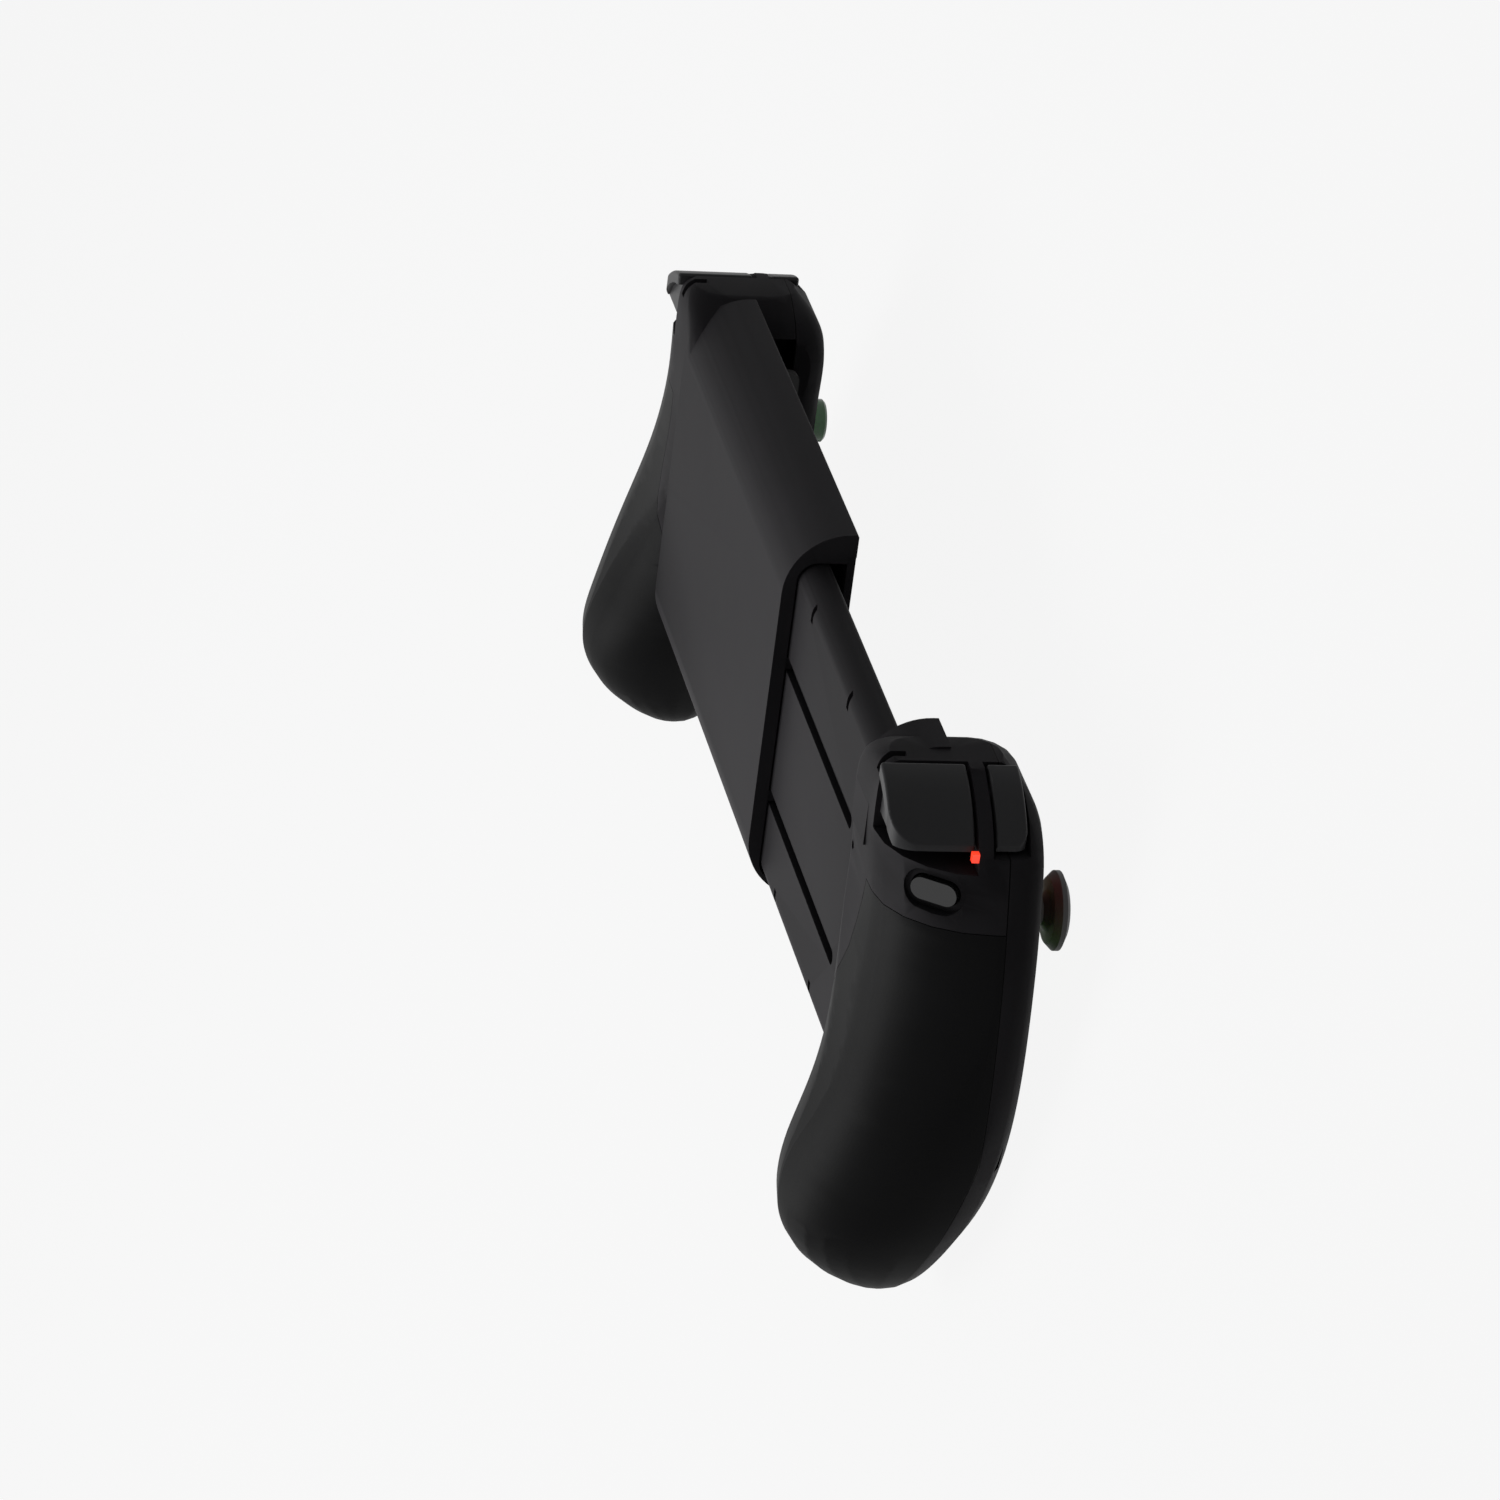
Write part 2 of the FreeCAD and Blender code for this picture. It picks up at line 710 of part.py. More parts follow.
def cut_stick_opening(body, side, a, y):
    """The opening round a stick, and the channel for its light ring."""
    x = along(side, a)
    cut_disc(body, x, y, "stick_hole", f"-{FAR}", "-parting")
    sketch = new_sketch(body, "XY_Plane", "ring_depth - face_level")
    draw_circle(sketch, x, y, "ring_outer")
    draw_circle(sketch, x, y, "ring_inner")
    pocket(body, sketch, FAR)


def cut_button_hole(body, x, y, radius):
    cut_disc(body, x, y, f"{radius} + button_gap", f"-{FAR}", "-parting")


def cut_low_button_room(body, side, y):
    """The low button lies below the room for the boards, so it has a small room of its own."""
    room = "small_radius + button_flange + button_gap"
    cut_disc(body, along(side, "small_low_a"), y, room, face_inside,
             f"{face_inside} + small_room")


def face_places():
    """The four face buttons: name, place outwards and height."""
    y = down("cluster_drop")
    return (
        ("face_button_upper", "cluster_a", f"{y} + cluster_spread"),
        ("face_button_lower", "cluster_a", f"{y} - cluster_spread"),
        ("face_button_inner", "cluster_a - cluster_spread", y),
        ("face_button_outer", "cluster_a + cluster_spread", y),
    )


def cut_cross(body, side, arm, width, front, rear):
    """A plus-shaped opening for the direction pad."""
    x = along(side, "dpad_a")
    y = down("dpad_drop")
    for half_x, half_y in ((arm, width), (width, arm)):
        cut_box(body, f"{x} - ({half_x})", f"{x} + ({half_x})", f"{y} - ({half_y})", f"{y} + ({half_y})",
                front, rear)


def make_left_front_shell(form):
    body = make_front_shell("left_front_shell", LEFT, form)
    cut_stick_opening(body, LEFT, "left_stick_a", down("left_stick_drop"))
    cut_cross(body, LEFT, "dpad_arm + dpad_gap", "dpad_width / 2 + dpad_gap", f"-{FAR}", "-parting")
    cut_button_hole(body, along(LEFT, "small_high_a"), down("small_high_drop"), "small_radius")
    cut_button_hole(body, along(LEFT, "small_low_a"), "left_small_low_y", "small_radius")
    cut_low_button_room(body, LEFT, "left_small_low_y")
    return body


def make_right_front_shell(form):
    body = make_front_shell("right_front_shell", RIGHT, form)
    cut_stick_opening(body, RIGHT, "right_stick_a", down("right_stick_drop"))
    for name, a, y in face_places():
        cut_button_hole(body, along(RIGHT, a), y, "face_radius")
    cut_button_hole(body, along(RIGHT, "small_high_a"), down("small_high_drop"), "small_radius")
    cut_button_hole(body, along(RIGHT, "small_low_a"), "right_small_low_y", "small_radius")
    cut_low_button_room(body, RIGHT, "right_small_low_y")
    return body


def back_slot(body, side, grow, level):
    """A slot in the plane of a back button, leaning from the rear towards the outer side."""
    sketch = body.newObject("Sketcher::SketchObject", "Sketch")
    sketch.AttachmentSupport = [(origin_plane(body, "XY_Plane"), "")]
    sketch.MapMode = "FlatFace"
    lean = number("back_lean")
    outward = side * math.sin(math.radians(lean))
    rearward = math.cos(math.radians(lean))
    sketch.AttachmentOffset = Placement(Vector(0, 0, 0), Rotation(Vector(0, 1, 0), lean * side))
    sketch.setExpression("AttachmentOffset.Base.x", bound(f"{along(side, 'back_a')} + {outward} * ({level})"))
    sketch.setExpression("AttachmentOffset.Base.y", bound(down("back_drop")))
    sketch.setExpression("AttachmentOffset.Base.z", bound(f"back_level + {rearward} * ({level})"))
    draw_slot(sketch, "0", "0", f"back_half_length + {grow}", f"back_half_width + {grow}")
    return sketch


def sleeve_section(sketch):
    draw_rounded(sketch, sleeve_bottom, sleeve_top, bed_front, "sleeve_rear", "sleeve_edge", "sleeve_round")


def plate_section(sketch):
    draw_rounded(sketch, f"{channel_bottom} + channel_gap", f"{channel_top} - channel_gap", plate_front,
                 plate_rear, "channel_edge", "plate_round")


def make_grip_cover(name, side, form):
    """Grip of a module. Its inner wall is cut away where the bridge enters."""
    body = new_body(name, form)
    cut_beyond_parting(body, side, False)
    cut_beyond_seam(body, side, True)
    hollow_module(body, side)
    left, right = span(side, "-sleeve_entry", "sleeve_entry")
    entry = new_sketch(body, "YZ_Plane", right)
    if side == LEFT:
        plate_section(entry)
    else:
        sleeve_section(entry)
    pocket(body, entry, f"({right}) - ({left})")
    return body


def finish_rear_shell(body, side):
    """Cuts that both rear shells share."""
    cut_shoulder(body, side)
    seat = "shoulder_inner - shoulder_gap - pivot_seat"
    left, right = span(side, seat, "shoulder_inner")
    cut_rod_x(body, down("pivot_drop"), "-pivot_level", "pivot_radius", left, right)
    pocket(body, back_slot(body, side, "button_gap", "back_reach"), "2 * back_reach")
    pocket(body, back_slot(body, side, "scoop_margin", "back_reach"), "back_reach + scoop_depth")
    left, right = span(side, "lanyard_a - lanyard_width / 2", "lanyard_a + lanyard_width / 2")
    cut_box(body, left, right, "module_height - lanyard_depth", FAR,
            "lanyard_level - lanyard_length / 2", "lanyard_level + lanyard_length / 2")


def add_root(body):
    """Stub with the upper part of the sleeve's section."""
    sketch = new_sketch(body, "YZ_Plane", along(LEFT, "root_inner"))
    foot = f"{sleeve_top} - root_height"
    low, high = number(foot), number(sleeve_top)
    front, rear = number(bed_front), number("sleeve_rear")
    r = number("sleeve_round")
    bottom = line(sketch, (low, rear), (low, front))
    front_side = line(sketch, (low, front), (high, front))
    top = line(sketch, (high, front), (high, rear - r))
    corner = arc(sketch, (high - r, rear - r), r, 0, 90)
    rear_side = line(sketch, (high - r, rear), (low, rear))
    for first, second in ((bottom, front_side), (front_side, top), (rear_side, bottom)):
        sketch.addConstraint(Sketcher.Constraint("Coincident", first, 2, second, 1))
    sketch.addConstraint(Sketcher.Constraint("Tangent", top, 2, corner, 1))
    sketch.addConstraint(Sketcher.Constraint("Tangent", corner, 2, rear_side, 1))
    for side_line, direction in ((bottom, "Vertical"), (front_side, "Horizontal"), (top, "Vertical")):
        sketch.addConstraint(Sketcher.Constraint(direction, side_line))
    drive(sketch, "low", Sketcher.Constraint("DistanceX", -1, 1, bottom, 2, low), foot)
    drive(sketch, "front", Sketcher.Constraint("DistanceY", -1, 1, bottom, 2, front), bed_front)
    drive(sketch, "high", Sketcher.Constraint("DistanceX", -1, 1, top, 1, high), sleeve_top)
    drive(sketch, "rear", Sketcher.Constraint("DistanceY", -1, 1, rear_side, 2, rear), "sleeve_rear")
    drive(sketch, "round", Sketcher.Constraint("Radius", corner, r), "sleeve_round")
    pad(body, sketch, "root_outer - root_inner")


def make_left_rear_shell(form):
    """Rear of the left module, with the inner plate that slides in the sleeve."""
    body = new_body("left_rear_shell", form)
    cut_beyond_parting(body, LEFT, False)
    cut_beyond_seam(body, LEFT, False)
    hollow_module(body, LEFT)
    add_root(body)
    plate = new_sketch(body, "YZ_Plane", "plate_tail_x")
    plate_section(plate)
    pad(body, plate, f"{along(LEFT, 'sleeve_entry')} - plate_tail_x")
    finish_rear_shell(body, LEFT)
    tail = "plate_tail_x - groove_width"
    for drop in ("groove_high_drop", "groove_low_drop"):
        sketch = new_sketch(body, "XY_Plane", plate_rear)
        middle = f"(({tail}) + groove_end_x) / 2"
        draw_slot(sketch, middle, down(drop), f"(groove_end_x - ({tail})) / 2", "groove_width / 2")
        pocket(body, sketch, "groove_depth")
    high = f"{channel_top} - channel_gap - catch_edge"
    low = f"{channel_bottom} + channel_gap + catch_edge - catch_length / 2"
    for count in range(2):
        x = f"catch_inner_x + {count} * catch_pitch"
        for start in (f"{high} - catch_length / 2", low):
            cut_box(body, f"{x} - catch_width / 2", f"{x} + catch_width / 2", start,
                    f"{start} + catch_length", f"{plate_rear} - catch_depth", FAR)
    cut_disc(body, along(LEFT, "pin_hole_a"), down("pin_hole_drop"), "pin_hole_radius",
             "sleeve_rear - pin_hole_depth", FAR)
    return body


def make_right_rear_shell(form):
    """Rear of the right module, moulded in one with the sleeve of the bridge."""
    body = new_body("right_rear_shell", form)
    cut_beyond_parting(body, RIGHT, False)
    cut_beyond_seam(body, RIGHT, False)
    hollow_module(body, RIGHT)
    left = along(RIGHT, "sleeve_entry")
    sleeve = new_sketch(body, "YZ_Plane", left)
    sleeve_section(sleeve)
    pad(body, sleeve, f"mouth_x - ({left})")
    past_mouth = "mouth_x + wall"
    channel = new_sketch(body, "YZ_Plane", past_mouth)
    draw_rounded(channel, channel_bottom, channel_top, f"-{FAR}", channel_rear, "channel_edge", "plate_round")
    pocket(body, channel, f"{past_mouth} - ({left}) + wall")
    bed_low, bed_high = f"{channel_bottom} - bed_ledge", f"{channel_top} + bed_ledge"
    cut_box(body, along(RIGHT, "0"), past_mouth, bed_low, bed_high, f"-{FAR}", bed_rear)
    sill_end = along(RIGHT, "-pad_thickness - bed_start + bed_gap")
    add_box(body, along(RIGHT, "wall"), sill_end, bed_low, bed_high, bed_front, bed_rear)
    for drop in ("groove_high_drop", "groove_low_drop"):
        y = down(drop)
        wide = "(groove_width / 2 - lug_gap)"
        add_box(body, "mouth_x - lug_length - lug_setback", "mouth_x - lug_setback", f"{y} - {wide}",
                f"{y} + {wide}", f"{plate_rear} - groove_depth + lug_gap", f"{channel_rear} + wall / 4")
    inner, outer = along(RIGHT, "plug_inside + wall"), along(RIGHT, "-wall")
    slot = new_sketch(body, "YZ_Plane", outer)
    draw_slot(slot, plug_y, "-plug_level", "plug_half_width", "plug_half_height")
    pocket(body, slot, f"({outer}) - ({inner})")
    finish_rear_shell(body, RIGHT)
    return body


def make_bridge_bed():
    """The flat face on which the phone lies. It closes the front of the sleeve."""
    body = new_body("bridge_bed")
    left = along(RIGHT, "-pad_thickness - bed_start")
    low = f"{channel_bottom} - bed_ledge + bed_gap"
    high = f"{channel_top} + bed_ledge - bed_gap"
    add_box(body, left, "mouth_x - bed_setback", low, high, bed_front, bed_rear)
    return body


# Fittings on the bridge


def make_slide_rails():
    """Two steel rails on the front of the inner plate."""
    body = new_body("slide_rails")
    for y in (f"{channel_bottom} + rail_edge", f"{channel_top} - rail_edge - rail_width"):
        add_box(body, "plate_tail_x", along(LEFT, "-rail_end"), y, f"{y} + rail_width",
                f"{plate_front} - rail_height", plate_front)
    return body


def make_bridge_ribbon():
    """Flat cable that carries the signals across the bridge, laid on the back of the bed."""
    body = new_body("bridge_ribbon")
    low = f"{plug_y} - ribbon_width / 2"
    add_box(body, along(RIGHT, "-ribbon_inside"), "mouth_x - ribbon_end", low, f"{low} + ribbon_width",
            bed_rear, f"{bed_rear} + ribbon_thickness")
    return body


def make_phone_pad(name, side):
    """Soft pad on the inner end of a module, against which the phone's end rests."""
    body = new_body(name)
    left, right = span(side, "-pad_thickness", "0")
    sketch = new_sketch(body, "YZ_Plane", left)
    draw_rounded(sketch, down("pad_low_drop"), down("pad_high_drop"), "-pad_depth", "-sleeve_front - pad_gap",
                 "pad_round", "pad_round")
    pad(body, sketch, "pad_thickness")
    if side == RIGHT:
        hole = new_sketch(body, "YZ_Plane", right)
        draw_slot(hole, plug_y, "-plug_level", "plug_half_width + plug_boot", "plug_half_height + plug_boot")
        pocket(body, hole, "pad_thickness")
    return body


def make_phone_plug():
    """The metal plug that enters the phone, with its plastic shoulder."""
    body = new_body("phone_plug")
    inner = along(RIGHT, "plug_inside")
    tip = along(RIGHT, "-pad_thickness - plug_length")
    shoulder = new_sketch(body, "YZ_Plane", along(RIGHT, "0"))
    draw_slot(shoulder, plug_y, "-plug_level", "plug_half_width + plug_boot - boot_gap",
              "plug_half_height + plug_boot - boot_gap")
    pad(body, shoulder, "pad_thickness")
    shell = new_sketch(body, "YZ_Plane", inner)
    draw_slot(shell, plug_y, "-plug_level", "plug_half_width", "plug_half_height")
    pad(body, shell, f"{tip} - ({inner})")
    mouth = new_sketch(body, "YZ_Plane", tip)
    draw_slot(mouth, plug_y, "-plug_level", "plug_half_width - plug_skin", "plug_half_height - plug_skin")
    pocket(body, mouth, "plug_length - plug_back")
    return body


# Shoulder controls


def draw_shoulder(sketch, side, low, radius, inner):
    """Front view of a trigger or bumper: upright ends and flat underside, with the shoulder's arc on top."""
    centre_x, centre_y = along(side, "shoulder_a"), down("shoulder_drop")
    centre = (number(centre_x), number(centre_y))
    r = number(radius)
    inner_x, outer_x = along(side, inner), along(side, "shoulder_outer")
    ends = [number(inner_x), number(outer_x)]
    rise = [math.sqrt(r ** 2 - (x - centre[0]) ** 2) for x in ends]
    tops = [(x, centre[1] + up) for x, up in zip(ends, rise)]
    floor = number(low)
    angles = [math.degrees(math.atan2(y - centre[1], x - centre[0])) for x, y in tops]
    inner_side = line(sketch, (ends[0], floor), tops[0])
    outer_side = line(sketch, (ends[1], floor), tops[1])
    under = line(sketch, (ends[0], floor), (ends[1], floor))
    crown = arc(sketch, centre, r, min(angles), max(angles))
    start, end = (2, 1) if side == LEFT else (1, 2)
    for first, first_end, second, second_end in (
        (inner_side, 1, under, 1),
        (outer_side, 1, under, 2),
        (inner_side, 2, crown, start),
        (outer_side, 2, crown, end),
    ):
        sketch.addConstraint(Sketcher.Constraint("Coincident", first, first_end, second, second_end))
    sketch.addConstraint(Sketcher.Constraint("Vertical", inner_side))
    sketch.addConstraint(Sketcher.Constraint("Vertical", outer_side))
    sketch.addConstraint(Sketcher.Constraint("Horizontal", under))
    drive(sketch, "centre_x", Sketcher.Constraint("DistanceX", -1, 1, crown, 3, centre[0]), centre_x)
    drive(sketch, "centre_y", Sketcher.Constraint("DistanceY", -1, 1, crown, 3, centre[1]), centre_y)
    drive(sketch, "radius", Sketcher.Constraint("Radius", crown, r), radius)
    drive(sketch, "inner", Sketcher.Constraint("DistanceX", -1, 1, under, 1, ends[0]), inner_x)
    drive(sketch, "outer", Sketcher.Constraint("DistanceX", -1, 1, under, 2, ends[1]), outer_x)
    drive(sketch, "low", Sketcher.Constraint("DistanceY", -1, 1, under, 1, floor), low)


def make_trigger(name, side):
    """A curved lever that covers the rear half of the shoulder and swings on a cross pin."""
    body = new_body(name)
    low = down("trigger_low_drop")
    front = "-bar_rear + shoulder_gap"
    sketch = new_sketch(body, "XY_Plane", front)
    draw_shoulder(sketch, side, low, "shoulder_radius", "shoulder_inner")
    block = pad(body, sketch, f"trigger_rear - ({front})")
    outer_x = number(along(side, "shoulder_outer"))
    rear = number("trigger_rear")
    rounded = round_edges(body, block, "trigger_corner",
                          lambda middle: abs(middle.x - outer_x) < 0.01 and middle.z > rear - 0.01)
    floor = number(low)
    upper = floor + number("shoulder_round")
    round_edges(body, rounded, "shoulder_round", lambda middle: middle.y > upper)
    under = new_sketch(body, "XY_Plane", "trigger_rear + trigger_undercut")
    draw_shoulder(under, side, f"{low} - trigger_lip", "shoulder_radius - trigger_lip",
                  "shoulder_inner - wall")
    pocket(body, under, "2 * trigger_undercut")
    left, right = span(side, "shoulder_inner + trigger_wall", "shoulder_inner + trigger_wall + trigger_room")
    cut_box(body, left, right, f"{low} - wall", down("trigger_room_drop"), "trigger_wall",
            "trigger_rear - trigger_undercut - trigger_wall")
    left, right = span(side, "shoulder_inner - shoulder_gap", "shoulder_inner + pivot_length")
    cut_rod_x(body, down("pivot_drop"), "-pivot_level", "pivot_radius + pivot_fit", left, right)
    return body


def make_trigger_pin(name, side):
    body = new_body(name)
    left, right = span(side, "shoulder_inner - shoulder_gap - pivot_seat",
                       "shoulder_inner + pivot_length - shoulder_gap")
    add_rod_x(body, down("pivot_drop"), "-pivot_level", "pivot_radius", left, right)
    return body


def make_bumper(name, side):
    """Key in front of the bar. It rocks on a pin at its inner end."""
    body = new_body(name)
    low = down("bumper_low_drop")
    sketch = new_sketch(body, "XY_Plane", "-bumper_front")
    draw_shoulder(sketch, side, low, "shoulder_radius", "shoulder_inner")
    block = pad(body, sketch, "bumper_front - bar_front - shoulder_gap")
    outer_x = number(along(side, "shoulder_outer"))
    front = -number("bumper_front")
    rounded = round_edges(body, block, "bumper_corner",
                          lambda middle: abs(middle.x - outer_x) < 0.01 and middle.z < front + 0.01)
    floor = number(low)
    upper = floor + number("shoulder_round")
    round_edges(body, rounded, "shoulder_round", lambda middle: middle.y > upper)
    cut_disc(body, along(side, "bumper_pin_a"), down("bumper_pin_drop"), "bumper_pin_radius + pivot_fit",
             f"-{FAR}", FAR)
    return body


def make_bumper_pin(name, side):
    body = new_body(name)
    add_disc(body, along(side, "bumper_pin_a"), down("bumper_pin_drop"), "bumper_pin_radius",
             "-bumper_front - shoulder_gap - bumper_pin_seat", "-bar_front + bumper_pin_seat")
    return body


def make_shoulder_light():
    """Small red lens at the outer end of the bar between trigger and bumper."""
    body = new_body("shoulder_light")
    left, right = span(LEFT, "light_a", "light_a + light_width")
    low = down("light_drop")
    add_box(body, left, right, low, f"{low} + light_height", "-bar_rear", "-bar_rear + light_width")
    return body


# Sticks


def make_light_ring(name, side, a, y):
    body = new_body(name)
    sketch = new_sketch(body, "XY_Plane", "-face_level")
    draw_circle(sketch, along(side, a), y, "ring_outer - ring_fit")
    draw_circle(sketch, along(side, a), y, "ring_inner + ring_fit")
    pad(body, sketch, "ring_depth")
    return body


def square(x, y, half):
    """The four limits of a square column round a stick's axis."""
    return f"{x} - ({half})", f"{x} + ({half})", f"{y} - ({half})", f"{y} + ({half})"


gimbal_front = "(-stick_pivot - gimbal_height / 2)"
gimbal_rear = "(gimbal_height / 2 - stick_pivot)"


def make_stick_housing(name, side, a, y):
    """Open box that carries the gimbal, with holes for the rocker's stubs."""
    body = new_body(name)
    x = along(side, a)
    front = "-stick_pivot - housing_rise"
    floor = "housing_floor - housing_wall"
    add_box(body, *square(x, y, "housing_half"), front, "housing_floor")
    cut_box(body, *square(x, y, "housing_half - housing_wall"), f"{front} - wall", floor)
    cut_rod_x(body, y, "-stick_pivot", "stub_radius + stub_fit", f"{x} - housing_half - wall",
              f"{x} + housing_half + wall")
    return body


def make_stick_rocker(name, side, a, y):
    """Gimbal frame on two stubs along X."""
    body = new_body(name)
    x = along(side, a)
    add_box(body, *square(x, y, "gimbal_half"), gimbal_front, gimbal_rear)
    stub = "(housing_half - rocker_end_gap)"
    add_rod_x(body, y, "-stick_pivot", "stub_radius", f"{x} - {stub}", f"{x} + {stub}")
    cut_box(body, *square(x, y, "gimbal_inner"), f"{gimbal_front} - wall", f"{gimbal_rear} + wall")
    cut_rod_y(body, x, "-stick_pivot", "stub_radius + stub_fit", f"{y} - gimbal_half - wall",
              f"{y} + gimbal_half + wall")
    return body


def make_stick_yoke(name, side, a, y):
    """Block that holds the shaft and turns in the rocker on two stubs along Y."""
    body = new_body(name)
    x = along(side, a)
    add_box(body, *square(x, y, "yoke_half"), gimbal_front, gimbal_rear)
    stub = "(gimbal_half - yoke_end_gap)"
    add_rod_y(body, x, "-stick_pivot", "stub_radius", f"{y} - {stub}", f"{y} + {stub}")
    cut_disc(body, x, y, "shaft_radius + stub_fit", f"-{FAR}", FAR)
    return body


def make_stick_shaft(name, side, a, y):
    body = new_body(name)
    add_disc(body, along(side, a), y, "shaft_radius", "cap_rim - stick_height",
             "housing_floor - housing_wall - shaft_foot")
    return body


def make_stick_cap(name, side, a, y):
    """Thumb cap with a dished top, a neck and the dome that fills the opening of the shell."""
    body = new_body(name)
    sketch = new_sketch(body, "XZ_Plane", f"-({y})")
    sketch.setExpression("AttachmentOffset.Base.x", bound(along(side, a)))
    top = -number("stick_height")
    rim = top + number("cap_rim")
    centre = -number("stick_pivot")
    outer = number("dome_radius")
    inner = outer - number("dome_wall")
    angle = math.radians(number("dome_angle"))
    neck = number("neck_radius")
    flare = number("neck_flare")
    bore = number("shaft_radius")
    cap = number("cap_radius")
    dish = number("cap_dish")
    waist = number("cap_waist")

    def on_dome(radius, turned):
        return (radius * math.sin(turned), centre - radius * math.cos(turned))

    points = (
        (0, top + dish),
        (cap - 2 * dish, top),
        (cap, top + dish),
        (cap, rim - waist),
        (cap - waist, rim),
        (neck + flare, rim + dish / 3),
        (neck, rim + flare),
        on_dome(outer, math.asin(neck / outer)),
        on_dome(outer, angle * 0.65),
        on_dome(outer, angle),
        on_dome(inner, angle),
        on_dome(inner, angle * 0.6),
        on_dome(inner, math.asin(bore / inner)),
        (bore, rim),
        (0, rim),
    )
    count = len(points)
    for i in range(count):
        line(sketch, points[i], points[(i + 1) % count])
    for i in range(count):
        sketch.addConstraint(Sketcher.Constraint("Block", i))
    revolve(body, sketch)
    return body


# Buttons


def make_button(name, x, y, radius, height):
    """Round button with a flange that stops it behind the shell."""
    body = new_body(name)
    top = f"-face_level - ({height})"
    add_disc(body, x, y, f"{radius} + button_flange", flange_front, f"{flange_front} + flange_depth")
    stem = add_disc(body, x, y, radius, top, flange_front)
    low = number(top) + 0.01
    bevel_edges(body, stem, "face_bevel", lambda middle: middle.z < low)
    return body


def make_d_pad():
    """Direction pad: a plus with a disc behind the shell and a round socket for the ball it rocks on."""
    body = new_body("d_pad")
    x = along(LEFT, "dpad_a")
    y = down("dpad_drop")
    top = "-face_level - dpad_height"
    under = f"{face_inside} + dpad_play"
    sketch = new_sketch(body, "XY_Plane", top)
    arm, half = "dpad_arm", "dpad_width / 2"
    corners = ((half, arm), (half, half), (arm, half))
    outline = []
    for sign_x, sign_y, order in ((1, 1, 1), (1, -1, -1), (-1, -1, 1), (-1, 1, -1)):
        for corner_x, corner_y in corners[::order]:
            outline.append((f"{x} + {sign_x} * ({corner_x})", f"{y} + {sign_y} * ({corner_y})"))
    draw_polygon(sketch, outline)
    block = pad(body, sketch, f"({under}) - ({top})")
    low = number(top) + 0.01
    bevel_edges(body, block, "dpad_bevel", lambda middle: middle.z < low)
    add_disc(body, x, y, "dpad_disc", under, f"{under} + flange_depth")
    socket = new_sketch(body, "XZ_Plane", f"-({y})")
    socket.setExpression("AttachmentOffset.Base.x", bound(x))
    draw_half_disc(socket, dpad_centre, "dpad_ball + dpad_ball_fit")
    revolve(body, socket, "PartDesign::Groove")
    return body


def draw_half_disc(sketch, level, radius):
    """Half of a disc beside the sketch's upright axis, from which a ball is turned."""
    centre, r = number(level), number(radius)
    diameter = line(sketch, (0, centre + r), (0, centre - r))
    rim = arc(sketch, (0, centre), r, -90, 90)
    sketch.addConstraint(Sketcher.Constraint("Coincident", diameter, 1, rim, 2))
    sketch.addConstraint(Sketcher.Constraint("Coincident", diameter, 2, rim, 1))
    sketch.addConstraint(Sketcher.Constraint("PointOnObject", rim, 3, -2))
    sketch.addConstraint(Sketcher.Constraint("PointOnObject", diameter, 1, -2))
    sketch.addConstraint(Sketcher.Constraint("PointOnObject", diameter, 2, -2))
    drive(sketch, "level", Sketcher.Constraint("DistanceY", -1, 1, rim, 3, centre), level)
    drive(sketch, "radius", Sketcher.Constraint("Radius", rim, r), radius)


def make_d_pad_pivot():
    """Ball on a stem, on which the direction pad rocks both ways."""
    body = new_body("d_pad_pivot")
    x = along(LEFT, "dpad_a")
    y = down("dpad_drop")
    sketch = new_sketch(body, "XZ_Plane", f"-({y})")
    sketch.setExpression("AttachmentOffset.Base.x", bound(x))
    draw_half_disc(sketch, dpad_centre, "dpad_ball")
    revolve(body, sketch)
    add_disc(body, x, y, "dpad_stem", dpad_centre, f"{key_board_front} - dpad_stem_gap")
    return body


def make_back_button(name, side):
    body = new_body(name)
    pad(body, back_slot(body, side, "0", "-back_inside"), "back_inside + back_proud")
    return body


# Inside the modules


def make_main_board(name, side):
    body = new_body(name)
    left, right = span(side, "board_inner", "board_outer")
    add_box(body, left, right, down("board_low_drop"), down("board_high_drop"), "board_level",
            "board_level + board_thickness")
    return body


def make_key_board(name, side, a, y, half):
    body = new_body(name)
    add_box(body, *square(along(side, a), y, half), key_board_front, "-key_board_level")
    return body


def make_membrane(name, side, a, y, board_half, spread):
    """Silicone sheet with one switch dome under each key."""
    body = new_body(name)
    front = f"({key_board_front} - membrane)"
    x = along(side, a)
    outline = new_sketch(body, "XY_Plane", front)
    draw_box(outline, *square(x, y, f"{board_half} - membrane_edge"))
    draw_circle(outline, x, y, "membrane_hole")
    pad(body, outline, "membrane")
    for across, up in ((1, 0), (-1, 0), (0, 1), (0, -1)):
        dome_x = f"{x} + {across} * ({spread})"
        dome_y = f"{y} + {up} * ({spread})"
        add_disc(body, dome_x, dome_y, "switch_dome_radius", f"{front} - dome_height", front)
    return body


def make_board_screws(name, side):
    """Three screws that hold the main board. They are separate solids of one group."""
    low, high = f"{down('board_low_drop')} + screw_edge", f"{down('board_high_drop')} - screw_edge"
    inner, outer = "board_inner + screw_edge", "board_outer - screw_edge"
    solids = []
    for a, y in ((inner, low), (outer, low), (inner, high)):
        place = Vector(number(along(side, a)), number(y), number("board_level + board_thickness"))
        solids.append(Part.makeCylinder(number("screw_radius"), number("screw_head"), place))
    group = doc.addObject("Part::Feature", name)
    group.Label = name
    group.Shape = Part.makeCompound(solids)
    return group


